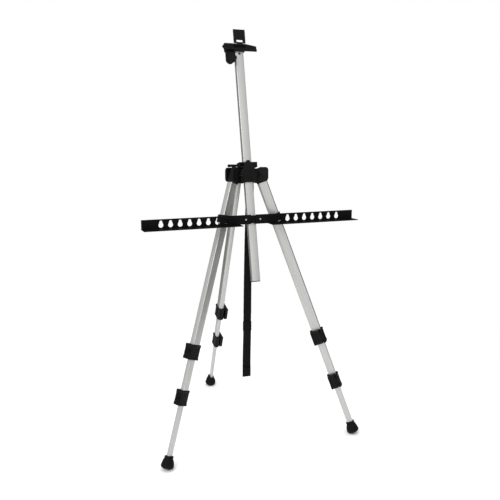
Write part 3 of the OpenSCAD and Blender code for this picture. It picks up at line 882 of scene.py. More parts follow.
@dataclass
class HangingStrap:
    """Webbing that hangs from the hub's lug, folded and stitched at both ends."""

    palette: Palette
    width: float = 21.0
    thickness: float = 1.7
    length: float = 486.0
    x: float = 10.0
    hem: float = 25.0
    patch_at: float = 352.0
    patch_len: float = 24.0
    route: tuple[tuple[float, float, float], ...] = (
        (0, -9, -25), (0, -9, -45), (0, -8.5, -70), (-0.5, -8, -100), (-1, -7, -130),
        (-1.5, -6, -160), (-2, -5.5, -190), (-2.5, -5, -220), (-3, -5, -250), (-3.5, -5, -280),
        (-4, -5.5, -310), (-4.5, -6, -340), (-5, -6, -370), (-5, -5.5, -400), (-5.5, -5, -430),
        (-6, -4.5, -460), (-6, -4, -490), (-6, -3.5, -511),
    )

    def line(self, down: Array) -> tuple[Array, Array, Array]:
        """The strap's centre line.

        A cubic through the route's points, with each point's slope that of its neighbours.

        Args:
            down: distances below the lug, from 0 to the strap's length.

        Returns:
            Points, directions across the width, and directions out of the front face.
        """
        route = np.asarray(self.route, float) + [self.x, 0, 0]
        z = route[0, 2] - np.asarray(down, float) * (route[0, 2] - route[-1, 2]) / self.length
        knots = -route[:, 2]
        slopes = np.gradient(route[:, :2], knots, axis=0)
        k = np.clip(np.searchsorted(knots, -z, side="right") - 1, 0, len(knots) - 2)
        step = (knots[k + 1] - knots[k])[:, None]
        s = (-z - knots[k])[:, None] / step
        p0, p1, m0, m1 = route[k, :2], route[k + 1, :2], slopes[k] * step, slopes[k + 1] * step
        xy = ((2 * s**3 - 3 * s**2 + 1) * p0 + (s**3 - 2 * s**2 + s) * m0
              + (3 * s**2 - 2 * s**3) * p1 + (s**3 - s**2) * m1)
        points = np.column_stack([xy, z])
        twist = np.radians(5.0) * np.sin(np.asarray(down) / self.length * 4.2)
        along = np.gradient(points, axis=0)
        along /= np.linalg.norm(along, axis=1, keepdims=True)
        wide = np.column_stack([np.cos(twist), np.sin(twist), np.zeros_like(twist)])
        wide -= (wide * along).sum(1, keepdims=True) * along
        wide /= np.linalg.norm(wide, axis=1, keepdims=True)
        return points, wide, np.cross(wide, along)

    def ribbon(self, down: Array, width: Array | float, low: float, high: float, x: float = 0.0) -> Array:
        """A band along the strap, from one depth of its thickness to another.

        The outline at each place is a flat rounded box, width by high - low, which stands on the
        centre line: point = centre + across * wide + depth * front.

        Args:
            down: distances below the lug.
            width: the band's width at each place.
            low, high: its back and its front, measured from the centre line.
            x: shift across the strap.

        Returns:
            The grid of points.
        """
        points, wide, front = self.line(down)
        half = np.broadcast_to(np.asarray(width, float) / 2, (len(points),))
        box = box_outline(-half, half, low, high, np.full((len(points), 4), (high - low) * 0.45), 4)
        return (points[:, None] + (box[..., :1] + x) * wide[:, None] + box[..., 1:] * front[:, None])

    def build(self) -> None:
        """Makes the strap, its folded hems, the hook-and-loop patch and the stitching."""
        down = np.linspace(0, self.length, 160)
        fray = 0.12 * np.sin(down * 1.7) + 0.08 * np.sin(down * 4.1)
        strap = Surfaces().add(self.ribbon(down, self.width + fray, -0.85, 0.85))
        body = strap.mesh("leg_strap_webbing", STAND.hub, 50)
        self.lay_uv(body)
        centre, _, _ = self.line(down)
        hems = Surfaces()
        for start, end in ((1.0, 20.0), (self.length - self.hem, self.length - 0.4)):
            hems.add(self.ribbon(np.linspace(start, end, 14), self.width - 0.2, -2.3, -0.9))
        hem = hems.mesh("leg_strap_hems", STAND.hub, 50)
        self.lay_uv(hem)
        half = self.patch_len / 2
        around = np.linspace(self.patch_at - half, self.patch_at + half, 16)
        patch = Surfaces().add(self.ribbon(around, self.width + 0.8, -2.2, -0.8))
        patch.add(self.ribbon(around, self.width + 0.8, 0.8, 2.0))
        patch = patch.mesh("leg_strap_patch", STAND.hub, 50)
        stitches = self.stitching().mesh("leg_strap_stitches", STAND.hub, 60)
        fit(body, "hub", self.palette.webbing, "leg_strap")
        fit(hem, "hub", self.palette.webbing)
        fit(patch, "hub", self.palette.patch)
        fit(stitches, "hub", self.palette.thread)
        path = STAND.hub.out(centre)

    def stitching(self) -> Surfaces:
        """Rows of short stitches: across both hems, and along the patch's edges.

        Returns:
            The stitches.
        """
        made = Surfaces()
        last = self.length - self.hem
        for at in (4.0, 17.0, last + 3, last + 7):
            for x in np.linspace(-8.4, 8.4, 8):
                for low, high in ((-2.62, -2.2), (0.75, 1.08)):
                    made.add(self.ribbon(np.linspace(at - 0.35, at + 0.35, 3), 1.7, low, high, x))
        for at in np.arange(self.patch_at - 10, self.patch_at + 10.1, 2.5):
            for x in (-9.4, 9.4):
                made.add(self.ribbon(np.linspace(at - 0.85, at + 0.85, 3), 0.6, -2.5, -2.1, x))
                made.add(self.ribbon(np.linspace(at - 0.85, at + 0.85, 3), 0.6, 1.9, 2.3, x))
        return made

    def lay_uv(self, piece: bpy.types.Object) -> None:
        """Lays a UV map: how far across the webbing, and how far along, both in metres.

        Args:
            piece: a piece of the strap.
        """
        data = piece.data
        spots = np.empty(len(data.vertices) * 3)
        data.vertices.foreach_get("co", spots)
        spots = spots.reshape(-1, 3)
        loops = np.empty(len(data.loops), int)
        data.loops.foreach_get("vertex_index", loops)
        route = STAND.hub.out(np.asarray(self.route, float) + [self.x, 0, 0])
        centre = np.interp(-spots[:, 2], -route[:, 2], route[:, 0])
        uv = np.column_stack([spots[:, 0] - centre, STAND.pivot_h * MM - spots[:, 2]])
        layer = data.uv_layers.new(name="webbing")
        layer.data.foreach_set("uv", uv[loops].ravel())


# ---------------------------------------------------------------- legs


def with_sides(outlines: Array, counts: Sequence[int], steps: int) -> Array:
    """Adds evenly spaced points along the straight sides of four-cornered outlines.

    Args:
        outlines: from box_outline, (m, 4 * steps, 2).
        counts: points to add on the sides after each corner.
        steps: points on each corner.

    Returns:
        The outlines, (m, 4 * steps + sum(counts), 2).
    """
    corners = outlines.reshape(len(outlines), 4, steps, 2)
    runs = []
    for k, count in enumerate(counts):
        runs.append(corners[:, k])
        first, last = corners[:, k, -1:], corners[:, (k + 1) % 4, :1]
        share = np.linspace(0, 1, count + 2)[1:-1, None]
        runs.append(first + (last - first) * share)
    return np.concatenate(runs, axis=1)


def plateau(value: Array, half: float, ramp: float) -> Array:
    """1 within half of zero, falling to 0 over a ramp outside: clip((half - |v|) / ramp, 0, 1)."""
    return np.clip((half - np.abs(value)) / ramp, 0, 1)


@dataclass
class Leg:
    """One telescoping leg: a sleeve at its pivot, three tubes, two flip-lock collars, and a foot."""

    side: Side
    palette: Palette
    upper: tuple[float, float] = (24.0, 13.5)
    middle: tuple[float, float] = (19.0, 10.0)
    lower: tuple[float, float] = (14.5, 7.2)
    wall: float = 1.1
    mid_len: float = 400.0
    lower_len: float = 430.0
    collar_h: float = 35.0
    collar_wall: float = 2.0
    collar_over: float = 4.0
    lug_y: float = 4.6
    lug_r: float = 3.0
    top_over: float = 9.0
    grain: int = 8

    @property
    def name(self) -> str:
        """The leg's name, with which its pieces' names start."""
        return self.side.value

    @property
    def place(self) -> Placement:
        """The leg's frame."""
        return STAND.leg(self.side)

    def build(self) -> None:
        """Makes the whole leg."""
        at, end = STAND.lower_collar(self.side), STAND.leg_end(self.side)
        overlap = self.collar_h / 2 - 4
        tubes = (
            ("upper", self.upper, self.top_over, -STAND.upper_len - overlap),
            ("mid", self.middle, self.mid_len - at, -at - overlap),
            ("lower", self.lower, self.lower_len - end, 14 - end),
        )
        for part, size, top, bottom in tubes:
            piece = self.tube(size, top, bottom).mesh(f"{self.name}_{part}_extrusion", self.place)
            fit(piece, f"{self.name}_{part}", self.palette.tubes[self.name],
                f"{self.name}_{part}_tube")
        collars = (
            ("upper", "upper", self.upper, self.middle, -STAND.upper_len),
            ("lower", "mid", self.middle, self.lower, -at),
        )
        for part, body, size, inside, z in collars:
            shell = self.collar(size, inside, z).mesh(f"{self.name}_{part}_clamp", self.place)
            fit(shell, f"{self.name}_{body}", self.palette.collar, f"{self.name}_{part}_collar")
            flap = self.lever(size, z).mesh(f"{self.name}_{part}_flip_lever", self.place)
            fit(flap, f"{self.name}_{part}_lock", self.palette.lever, f"{self.name}_{part}_lever")
            screw = self.clamp_screw(size, z).mesh(f"{self.name}_{part}_clamp_screw", self.place)
            fit(screw, f"{self.name}_{body}", self.palette.steel)
        knuckle = self.knuckle().mesh(f"{self.name}_leg_knuckle", self.place)
        fit(knuckle, f"{self.name}_upper", self.palette.sleeve)
        boot = self.foot(end).mesh(f"{self.name}_rubber_foot", self.place)
        fit(boot, f"{self.name}_lower", self.palette.rubber, f"{self.name}_foot")

    def tube(self, size: tuple[float, float], top: float, bottom: float) -> Surfaces:
        """A drawn tube: its section goes up the outside and down the inside.

        Args:
            size: the section's width and thickness.
            top, bottom: the ends, measured up the leg from its pivot.

        Returns:
            The closed wall.
        """
        wall, edge = self.wall, 0.3
        grow = [-edge, 0, 0, -edge, edge - wall, -wall, -wall, edge - wall]
        z = [bottom, bottom + edge, top - edge, top, top, top - edge, bottom + edge, bottom]
        return Surfaces().add(carried(tube_outline(*size, np.array(grow)), z), Ends.JOINED)

    def knuckle(self) -> Surfaces:
        """The moulded sleeve round the tube's upper end, between the hub's ears.

        Returns:
            The sleeve.
        """
        z = np.array([-21.0, -20.4, self.top_over + 0.9, self.top_over + 1.5])
        x0, x1 = [-12.2, -12.5, -12.5, -12.2], [13.4, 14.0, 14.0, 13.4]
        half = np.array([6.85, 7.0, 7.0, 6.85])
        outline = box_outline(x0, x1, -half, half, np.full((4, 4), 3.0))
        return Surfaces().add(carried(outline, z))

    def collar(self, size: tuple[float, float], inside: tuple[float, float], z: float) -> Surfaces:
        """A collar body with rims, a ribbed grip face and a sunk outer end, and its hinge lugs.

        The outside is the tube's own outline grown by the wall; it swells by 0.7 at the two rims
        and is pushed in by a panel on the outer end, depth = 1.5 * plateau(y) * plateau(z), that
        leaves two cross ribs. The inside is the tube's seat above the narrower sliding throat.

        Args:
            size: the clamped tube's section.
            inside: the sliding tube's section.
            z: the collar's middle, up the leg.

        Returns:
            The collar.
        """
        w, t = size
        half, wall, over, n = self.collar_h / 2, self.collar_wall, self.collar_over, self.grain
        lift = np.unique(np.concatenate([np.linspace(-half, half, 60), [-half + 0.9, half - 0.9]]))
        broken = np.clip((np.abs(lift) - half + 0.9) / 0.9, 0, 1) ** 2
        rim = 0.7 * (1 - plateau(lift, 13.2, 0.7)) - broken
        round_end, corner = (t / 2 + wall + rim) * 0.999, np.full_like(rim, 2.6)
        radii = np.stack([round_end, corner, corner, round_end], -1)
        outer = box_outline(-w / 2 - over - rim, w / 2 + over + rim, -t / 2 - wall - rim,
                            t / 2 + wall + rim, radii, n)
        outer = with_sides(outer, (12, 22, 24, 0), n)
        x, y, height = outer[..., 0], outer[..., 1], lift[:, None]
        sunk = plateau(y, t / 2 - 1.0, 0.5) * plateau(height, 11.6, 0.5) * (x > w / 4)
        ribs = plateau(np.abs(height) - 4.2, 0.75, 0.35)
        outer[..., 0] -= 1.5 * sunk * (1 - 0.8 * ribs)
        grip = plateau(x - 1.0, w / 2 - 3.0, 0.6) * plateau(height, 11.4, 0.5) * (y > t / 2)
        outer[..., 1] += grip * (0.15 + 0.4 * np.cos(height * 2 * np.pi / 3.8))
        seat = with_sides(box_outline(-w / 2 - 0.05, w / 2 + 0.05, -t / 2 - 0.05, t / 2 + 0.05,
                                      np.full((2, 4), [t / 2, 1.4, 1.4, t / 2]), n), (12, 22, 24, 0), n)
        iw, it = inside
        throat = with_sides(box_outline(-iw / 2 - 0.35, iw / 2 + 0.35, -it / 2 - 0.35, it / 2 + 0.35,
                                        np.full((2, 4), [it / 2 + 0.34, 1.5, 1.5, it / 2 + 0.34]), n),
                            (12, 22, 24, 0), n)
        outlines = np.concatenate([outer, seat, throat])
        heights = np.concatenate([lift, [half, 4 - half, 4 - half, -half]]) + z
        made = Surfaces().add(carried(outlines, heights), Ends.JOINED)
        return self.lugs(made, w, t, z)

    def lugs(self, made: Surfaces, w: float, t: float, z: float) -> Surfaces:
        """Adds the two hinge lugs.

        Args:
            made: the collar's surfaces.
            w, t: the clamped tube's section.
            z: the collar's middle, up the leg.

        Returns:
            The collar with its lugs.
        """
        hx, hy, r = w / 2, -t / 2 - self.collar_wall - self.lug_y, self.lug_r
        top = self.collar_h / 2 - 0.2
        for low, high in ((9.4, top), (-top, -9.4)):
            lift = np.linspace(low, high, 14)
            edge = np.minimum(0.5, np.minimum(lift - low, high - lift))
            shrink = 0.5 - edge
            radii = np.tile([r - 0.4, r - 0.6, 0.4, 0.4], (len(lift), 1))
            outline = box_outline(hx - r + shrink, hx + r + 0.4 - shrink, hy - r + shrink,
                                  -t / 2 - 1.0, radii)
            made.add(carried(outline, lift + z))
        return made

    def lever(self, size: tuple[float, float], z: float) -> Surfaces:
        """A flip lever: knuckle, neck, and a dished plate whose free edge turns out as a finger grip.

        Across the plate, from the hinge to the free edge, the outline is a rounded box in Y and Z.
        Its outer face rises by 1.7 * s^6 towards the free edge and is dished by 0.9 inside a rim.

        Args:
            size: the clamped tube's section.
            z: the collar's middle, up the leg.

        Returns:
            The lever.
        """
        w, t = size
        hx, hy, r = w / 2, -t / 2 - self.collar_wall - self.lug_y, self.lug_r
        start, tip, half, n = hx - r - 1.2, hx - w - 3.0, self.collar_h / 2 - 0.1, 5
        x = np.linspace(start, tip, 46)
        s = (start - x) / (start - tip)
        nose = np.clip((s - 0.93) / 0.07, 0, 1) ** 2 + np.clip((0.03 - s) / 0.03, 0, 1) ** 2
        outside = hy - r - 0.3 - 1.7 * s**6 + 1.1 * nose
        inside = hy + 3.7 - 0.9 * nose
        tall = half - 1.2 * nose
        outline = box_outline(outside, inside, -tall, tall, np.full((len(x), 4), 1.3), n)
        outline = with_sides(outline, (2, 40, 2, 40), n)
        y, lift = outline[..., 0], outline[..., 1]
        dish = plateau(lift, half - 3.0, 1.0) * plateau(s[:, None] - 0.47, 0.36, 0.06)
        ridges = plateau((np.abs(lift) % 4.4) - 2.2, 0.7, 0.4) * plateau(s[:, None] - 0.88, 0.05, 0.03)
        outline[..., 0] += np.where(y < (outside + inside)[:, None] / 2, 0.9 * dish - 0.35 * ridges, 0)
        made = Surfaces().add(carried(outline + [0, z], x, Plane.YZ))
        knuckle = turned([r * 0.86, r, r, r * 0.86], [-9.1, -8.7, 8.7, 9.1], Plane.XY, 28)
        made.add(knuckle + [hx, hy, z])
        neck = box_outline(hy - r + 0.1, hy + 0.5, z - 9.0, z + 9.0, np.full((2, 4), 0.5))
        return made.add(carried(neck, [start - 1.5, hx - 0.4], Plane.YZ))

    def clamp_screw(self, size: tuple[float, float], z: float) -> Surfaces:
        """The small hex-socket screw in the sunk end of a collar, which sets the clamp's grip.

        Args:
            size: the clamped tube's section.
            z: the collar's middle, up the leg.

        Returns:
            The screw's head.
        """
        w, _ = size
        face = w / 2 + self.collar_over - 1.5
        radii = [0.1, 1.15, 1.15, 1.4, 2.3, 2.55, 2.4]
        depth = [0.35, 0.35, 1.15, 1.25, 1.05, 0.6, -0.4]
        head = turned(radii, depth, Plane.YZ, 36,
                      lambda i, a: np.where((i > 0) & (i < 3), hexagon(a, 2.0, 1.0), 1.0))
        return Surfaces().add(head + [face, 0, z])

    def foot(self, end: float) -> Surfaces:
        """A rubber foot: a socket round the tube that flares down to a round sole.

        The outline goes from a circle to the tube's own section, grown by 1.6, as
        mix(h) = smoothstep of the height. The circle's radius is r - 3.6 (h - e) / 21 above the
        rounded edge, which is a quarter circle of radius e, and three moulded rings are cut in it.

        Args:
            end: distance from the pivot to the floor end.

        Returns:
            The foot.
        """
        w, t = self.lower
        r, e = STAND.foot_r, STAND.foot_edge
        h = np.concatenate([e - e * np.cos(np.linspace(0.0, np.pi / 2, 10)), np.linspace(e + 0.5, 27.5, 46)])
        mix = np.clip((h - 13.0) / 13.0, 0, 1)
        mix = mix * mix * (3 - 2 * mix)
        edge = r - e + np.sqrt(np.clip(e * e - (e - h) ** 2, 0.0, None))
        circle = np.where(h <= e, edge, r - 3.6 * (h - e) / 21.0)
        rings = 0.5 * plateau((h - 8.0) % 4.0 - 2.0, 0.6, 0.35) * (h > 8) * (h < 20)
        lip = 0.8 * plateau(h - 25.2, 1.7, 0.4) - 0.8 * np.clip((h - 26.9) / 0.6, 0, 1)
        circle = circle - rings
        x1, y1 = w / 2 + 2.2 + lip, t / 2 + 3.4 + lip
        x1, y1 = circle + (x1 - circle) * mix, circle + (y1 - circle) * mix
        inner, outer = y1 * 0.999, y1 + (3.4 - y1) * mix
        outer = np.minimum(outer, y1 * 0.999)
        outline = box_outline(-x1, x1, -y1, y1, np.stack([inner, outer, outer, inner], -1), 10)
        return Surfaces().add(carried(outline, h - end))


# ---------------------------------------------------------------- hub and mast clamp


@dataclass
class Hub:
    """The moulded hub, its cover, and the bolts that the legs swing on."""

    palette: Palette
    ear_out: float = 12.3

    def build(self) -> None:
        """Makes the hub's pieces."""
        fit_softened("hub_body", "hub_casting", 1.0, "hub", self.palette.hub)
        fit_softened("hub_cover", "hub_cap", 1.2, "hub", self.palette.hub)
        screws = Surfaces()
        for a in (30, 150):
            spot = [12 * math.cos(math.radians(a)), 12 * math.sin(math.radians(a)), 17.0]
            screws.add(self.pan_head(2.7, 1.5, Plane.XY) + spot)
        fit(screws.mesh("cover_screw_heads", STAND.hub), "hub", self.palette.steel, "cover_screws")
        for side in Side:
            self.pivot(side)
        self.stop_ribs()

    def pan_head(self, r: float, h: float, plane: Plane) -> Array:
        """A pan head with a hexagon socket, standing on zero: a profile turned round the axis.

        Args:
            r, h: its radius and height.
            plane: the plane that it stands on.

        Returns:
            The grid of points.
        """
        radii = [0.05, r * 0.42, r * 0.42, r * 0.5, r * 0.75, r * 0.93, r, r * 0.97]
        up = [h * 0.3, h * 0.3, h * 0.96, h, h * 0.93, h * 0.66, h * 0.25, -0.6]
        return turned(radii, up, plane, 36,
                      lambda i, a: np.where((i > 0) & (i < 3), hexagon(a, 2.0, 1.0), 1.0))

    def pivot(self, side: Side) -> None:
        """A leg's pivot: cheeks and bosses on both ears, the bolt, its socket head and its nut.

        Args:
            side: the leg.
        """
        o = self.ear_out
        bosses = Surfaces()
        for way in (-1, 1):
            radii, out = [3.2, 9.2, 9.0, 8.4, 6.6, 6.4, 3.2], [-0.6, -0.6, 0.5, 1.0, 1.0, 0.1, 0.1]
            bosses.add(turned(radii, way * (np.array(out) + o), Plane.XZ, 56), Ends.JOINED)
        fit(bosses.mesh(f"{side.value}_ear_bosses", STAND.leg(side)), "hub", self.palette.hub)
        fit(self.cheeks().mesh(f"{side.value}_ear_cheeks", STAND.ears(side)), "hub", self.palette.hub)
        bolt = Surfaces().add(turned([2.95, 2.95], [-o - 0.4, o + 3.0], Plane.XZ, 28))
        head = self.pan_head(5.2, 2.6, Plane.XZ)
        head[..., 1] = -o - 0.12 - head[..., 1]
        bolt.add(head)
        nut = turned([3.0, 4.0, 4.3, 4.3, 4.0, 3.0], [0.1, 0.1, 0.5, 2.1, 2.5, 2.5], Plane.XZ, 60,
                     lambda i, a: np.where((i > 0) & (i < 5), hexagon(a, 2.0), 1.0))
        nut[..., 1] += o
        bolt.add(nut)
        end = turned([0.1, 1.6, 2.6, 2.9, 2.9], [3.75, 3.7, 3.45, 3.0, 2.0], Plane.XZ, 28)
        end[..., 1] += o
        bolt.add(end)
        nodes = ("leg_bolts",) if side is Side.LEFT else ()
        fit(bolt.mesh(f"{side.value}_pivot_bolt", STAND.leg(side)), "hub", self.palette.steel, *nodes)

    def cheeks(self) -> Surfaces:
        """The outer leaves of one pair of ears: a six-cornered outline with wide fillets.

        Returns:
            Both leaves.
        """
        corners = np.array([(14, -16), (57, -16), (57, 16.5), (37, 16.5), (30, 12.5), (14, 12.5)], float)
        inset = np.array([0.7, 0.0, 0.0, 1.1])[:, None, None]
        fillets = np.tile([1, 7, 7, 9, 9, 1], (4, 1))
        outline = filleted(corners - inset * np.sign(corners - [36, 1]), fillets, 8)
        made = Surfaces()
        for way in (-1, 1):
            q = way * np.array([7.4, 8.0, self.ear_out - 1.1, self.ear_out])
            made.add(carried(outline, q, Plane.XZ))
        return made

    def stop_ribs(self) -> None:
        """Stiffening ribs down the core between the ears, as rounded bars against its wall."""
        ribs = Surfaces()
        z = np.array([-19.2, -18.6, 10.6, 11.2])
        shrink = np.array([0.6, 0.0, 0.0, 0.6])
        for degrees in (22, 38, 142, 158):
            spin = turn(2, degrees)
            outline = box_outline(17.0, 20.6 - shrink, -1.1 + shrink, 1.1 - shrink,
                                  np.tile([0.2, 0.45, 0.45, 0.2], (4, 1)))
            ribs.add(carried(outline, z) @ spin.T)
        fit(ribs.mesh("hub_ribs", STAND.hub), "hub", self.palette.hub)


@dataclass
class MastClamp:
    """The tilting head that holds the mast, and its squeeze lever."""

    palette: Palette
    lever_at: tuple[float, float, float] = (-18.0, 1.0, 21.5)
    blade: float = 29.0

    def build(self) -> None:
        """Makes the head, its front ribs and the lever."""
        fit_softened("mast_head", "mast_clamp_block", 1.0, "mast_clamp", self.palette.hub)
        ribs = Surfaces()
        z = np.array([-16.0, -15.2, 12.4, 13.2])
        for x in (-9.0, -3.0, 3.0, 9.0):
            outline = box_outline(x - 0.9, x + 0.9, [-11.3, -12.3, -12.3, -11.3], -10.2,
                                  np.tile([0.4, 0.4, 0.1, 0.1], (4, 1)))
            ribs.add(carried(outline, z))
        ring = turned([2.2, 4.2, 4.0, 3.4, 2.4, 2.2], [0.4, 0.4, -0.7, -0.9, -0.9, -0.3], Plane.XZ, 32)
        ribs.add(ring + [16.5, -11.0, 22.0], Ends.JOINED)
        fit(ribs.mesh("mast_clamp_ribs", STAND.mast), "mast_clamp", self.palette.hub)
        lever = self.lever().mesh("mast_squeeze_lever", STAND.mast)
        fit(lever, "mast_lock", self.palette.lever, "mast_lever")

    def lever(self) -> Surfaces:
        """A thin curved blade from an eye: a flat outline carried along a circular arc.

        The arc is y = 34 - sqrt(36.3^2 - (x + blade / 2)^2); the blade thins from 3.4 to 2.0 and
        its free end turns out and swells into a thumb rest.
        """
        x = np.linspace(-1.0, -self.blade - 1.5, 40)
        s = (x[0] - x) / (x[0] - x[-1])
        flick = -2.6 * np.clip((s - 0.72) / 0.28, 0, 1) ** 2
        y = 34 - np.sqrt(36.3**2 - (x + self.blade / 2) ** 2) + flick
        centre = np.column_stack([x, y, 0 * x])
        along = np.gradient(centre, axis=0)
        along /= np.linalg.norm(along, axis=1, keepdims=True)
        across = np.column_stack([along[:, 1], -along[:, 0], 0 * x])
        tip = np.clip((s - 0.955) / 0.045, 0, 1) ** 2
        thick = (3.4 - 1.4 * s + 1.1 * np.exp(-(((s - 0.93) / 0.06) ** 2))) * (1 - 0.65 * tip)
        tall = (2.4 + 0.9 * s) * (1 - 0.35 * tip)
        radii = np.minimum(thick / 2, 1.0)[:, None] * np.ones(4) * 0.9
        outline = box_outline(-thick / 2, thick / 2, -tall, tall, radii)
        grid = centre[:, None] + outline[..., :1] * across[:, None] + outline[..., 1:] * [0, 0, 1]
        made = Surfaces().add(grid + self.lever_at)
        eye = turned([1.75, 1.75, 2.1, 4.0, 4.4, 4.4, 4.0, 2.1], [-2.1, 2.1, 2.5, 2.5, 2.1, -2.1, -2.5, -2.5],
                     Plane.XY, 40)
        return made.add(eye + self.lever_at, Ends.JOINED)


# ---------------------------------------------------------------- mast and canvas clamp


@dataclass
class Mast:
    """The sliding mast tube, its end cap and its rivet."""

    palette: Palette
    width: float = 20.0
    depth: float = 12.0
    wall: float = 1.2
    up: float = 290.0
    down: float = 252.0

    def build(self) -> None:
        """Makes the mast's pieces."""
        edge = 0.35
        grow = np.array([-edge, 0, 0, -edge, edge - self.wall, -self.wall, -self.wall, edge - self.wall])
        z = [-self.down, edge - self.down, self.up - edge, self.up, self.up, self.up - edge,
             edge - self.down, -self.down]
        x, y = self.width / 2 + grow, self.depth / 2 + grow
        outline = box_outline(-x, x, -y, y, np.maximum(1.5 + grow, 0.4)[:, None] * np.ones(4))
        tube = Surfaces().add(carried(outline, z), Ends.JOINED).mesh("mast_extrusion", STAND.mast)
        fit(tube, "mast", self.palette.tubes["mast"], "mast_tube")
        fit_softened("mast_end_cap", "mast_foot_plug", 0.5, "mast", self.palette.clamp)
        rivet = turned([0.1, 1.2, 2.1, 2.6, 2.7], [-1.3, -1.25, -1.0, -0.45, 0.3], Plane.XZ, 28)
        piece = Surfaces().add(rivet + [0, -self.depth / 2, self.up - 5]).mesh("mast_rivet", STAND.mast)
        fit(piece, "mast", self.palette.clamp)


@dataclass
class CanvasClamp:
    """The holder on top of the mast: bracket, cross wing, slotted tab and clamp knob."""

    palette: Palette
    wing_z: float = 290.6
    wing_h: float = 17.0
    wing_y: float = -9.7
    wing_t: float = 2.6
    knob_at: tuple[float, float] = (-23.0, 271.0)

    def build(self) -> None:
        """Makes the clamp's pieces."""
        fit_softened("top_bracket", "top_holder", 0.9, "mast", self.palette.clamp)
        fit(self.wing().mesh("canvas_cross_wing", STAND.mast), "mast", self.palette.clamp, "canvas_wing")
        fit_softened("canvas_tab", "canvas_hook_tab", 0.5, "tab", self.palette.clamp)
        fit(self.knob().mesh("canvas_clamp_knob", STAND.mast), "knob", self.palette.clamp, "clamp_knob")

    def wing(self) -> Surfaces:
        """The cross wing: an angle section carried from left to right, and the tab's knuckles.

        The back leaf's height goes up from a point at the left, stays level, and slopes down to
        the right end; the lip stands forwards by 6.5 and rounds off at both ends.
        """
        x = np.concatenate([np.linspace(-43, -37, 12), np.linspace(-36, 38, 40), np.linspace(39, 42.5, 12)])
        left = np.clip((x + 43) / 6, 0, 1)
        low = self.wing_z + self.wing_h / 2 * (1 - left)
        high = np.minimum(self.wing_z + self.wing_h / 2 * (1 + left),
                          self.wing_z + self.wing_h - 4.5 * np.clip((x - 16) / 26.5, 0, 1))
        high = np.maximum(high, low + 0.8)
        ends = np.sqrt(np.clip(1 - (np.abs(x + 0.2) / 42.6) ** 24, 0.02, 1))
        lip = 1.5 + 5.0 * ends * np.clip((x + 42) / 5, 0.02, 1)
        back, front = self.wing_y + self.wing_t, self.wing_y
        nose, floor = front - lip, low + 3.6 * np.clip(left, 0.15, 1)
        floor = np.minimum(floor, high - 0.3)
        corners = np.stack([np.stack(np.broadcast_arrays(a, b), -1) for a, b in (
            (back, low), (back, high), (front, high), (front, floor), (nose, floor), (nose, low))], -2)
        size = np.clip(high - floor, 0.2, 1.0) * np.clip(floor - low, 0.2, 1.0)
        room = 0.42 * np.minimum(high - floor, floor - low)[:, None] + 0.05
        radii = np.minimum(size[:, None] * [0.5, 0.9, 0.9, 1.2, 0.9, 0.9], room)
        made = Surfaces().add(carried(filleted(corners, radii, 5), x, Plane.YZ))
        for s in (-1, 1):
            knuckle = turned([1.2, 2.5, 2.8, 2.8, 2.5, 1.2], [-3, -3, -2.7, 2.7, 3, 3], Plane.YZ, 32)
            made.add(knuckle + [s * 10.5, self.wing_y - 2.3, self.wing_z + self.wing_h - 4], Ends.JOINED)
        for shift in np.linspace(-30, 8, 9):
            rib = box_outline(front - 0.5, front + 0.3, self.wing_z + 4.0, self.wing_z + 12.5,
                              np.full((2, 4), 0.3))
            made.add(carried(rib, [shift - 0.6, shift + 0.6], Plane.YZ))
        return made

    def knob(self) -> Surfaces:
        """The clamp knob: a cap with six lobes, r = R (1 + 0.05 cos 6a), its neck and its screw."""
        radii = [0.1, 5.0, 6.4, 7.0, 8.8, 9.9, 10.4, 10.4, 10.0, 8.9, 6.2, 6.0, 5.8, 2.5, 2.5, 2.2]
        along = [-19.9, -19.9, -20.1, -20.9, -21.0, -20.4, -18.8, -12.2, -10.8, -10.2, -10.1, -9.4, -7.4,
                 -7.3, 3.6, 4.0]
        knob = turned(radii, along, Plane.XZ, 96,
                      lambda i, a: 1 + 0.05 * np.cos(6 * a) * ((i > 3) & (i < 10)))
        x, z = self.knob_at
        return Surfaces().add(knob + [x, 0, z])


# ---------------------------------------------------------------- canvas bar


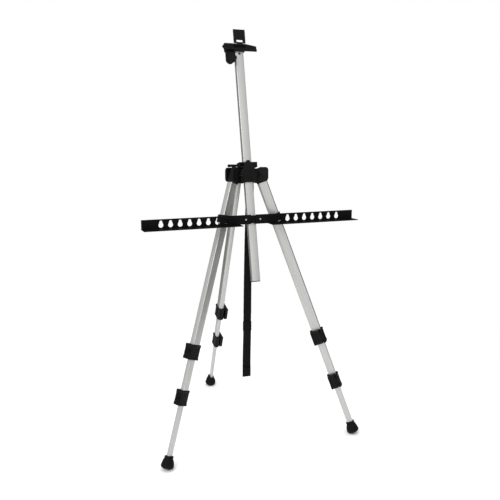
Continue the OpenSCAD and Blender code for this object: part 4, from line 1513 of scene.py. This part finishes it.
@dataclass
class CanvasBar:
    """What is fastened to the canvas bar and holds it: rivets, peg brackets and peg heads."""

    palette: Palette
    rivet_x: float = 18.0
    height: float = 22.0
    peg_x: float = 66.0
    neck_z: float = 15.8

    def build(self) -> None:
        """Makes the bar's fastenings."""
        heads = Surfaces()
        for s in (-1, 1):
            spot = [s * self.rivet_x, 0, self.height / 2]
            front = turned([0.1, 0.9, 1.5, 2.0, 2.3, 2.4, 2.5, 2.5, 2.5, 3.6, 3.7, 3.2, 1.4, 0.1],
                           [-3.2, -3.15, -2.9, -2.4, -1.9, -1.6, -1.6, 0.2, 2.3, 2.35, 2.7, 3.2, 3.5, 3.5],
                           Plane.XZ, 40)
            heads.add(front + spot)
        fit(heads.mesh("bar_domed_rivets", STAND.bar), "bar", self.palette.zinc, "bar_rivets")
        for side, s in ((Side.LEFT, -1), (Side.RIGHT, 1)):
            name = side.value
            fit_softened(f"{name}_peg_bracket", f"{name}_bar_bracket", 0.9, f"{name}_upper",
                         self.palette.collar)
            stud = turned([0.1, 2.6, 3.7, 4.1, 4.1, 2.15, 2.15], [-3.1, -3.05, -2.75, -2.3, -1.9, -1.75, 1.0],
                          Plane.XZ, 36)
            stud += [s * self.peg_x, 0, self.neck_z]
            piece = Surfaces().add(stud).mesh(f"{name}_peg_head", STAND.bar)
            fit(piece, f"{name}_upper", self.palette.steel)


# ---------------------------------------------------------------- the whole easel


def dress_kept_nodes(palette: Palette) -> None:
    """Gives every CAD node that stays in sight the finish of its material slot.

    Args:
        palette: the easel's coats.
    """
    coats = (palette.hub, palette.clamp, palette.collar, palette.lever, palette.insert, palette.steel,
             palette.zinc, palette.rubber, palette.webbing, palette.tubes["mast"])
    finishes = {coat.slot: coat.material for coat in coats}
    for part in frame["record"]["subparts"]:
        data = frame["nodes"][part["node"]].data
        data.materials.clear()
        data.materials.append(finishes[part["material_slot"]])


def main() -> None:
    """Builds the studio, the strap, and then the easel from its legs up."""
    logging.basicConfig(level=logging.INFO, format="%(message)s")
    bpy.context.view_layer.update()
    Studio().build()
    palette = Palette()
    HangingStrap(palette).build()
    for side in Side:
        Leg(side, palette).build()
    Hub(palette).build()
    MastClamp(palette).build()
    Mast(palette).build()
    CanvasClamp(palette).build()
    CanvasBar(palette).build()
    dress_kept_nodes(palette)


if __name__ == "__main__":
    main()
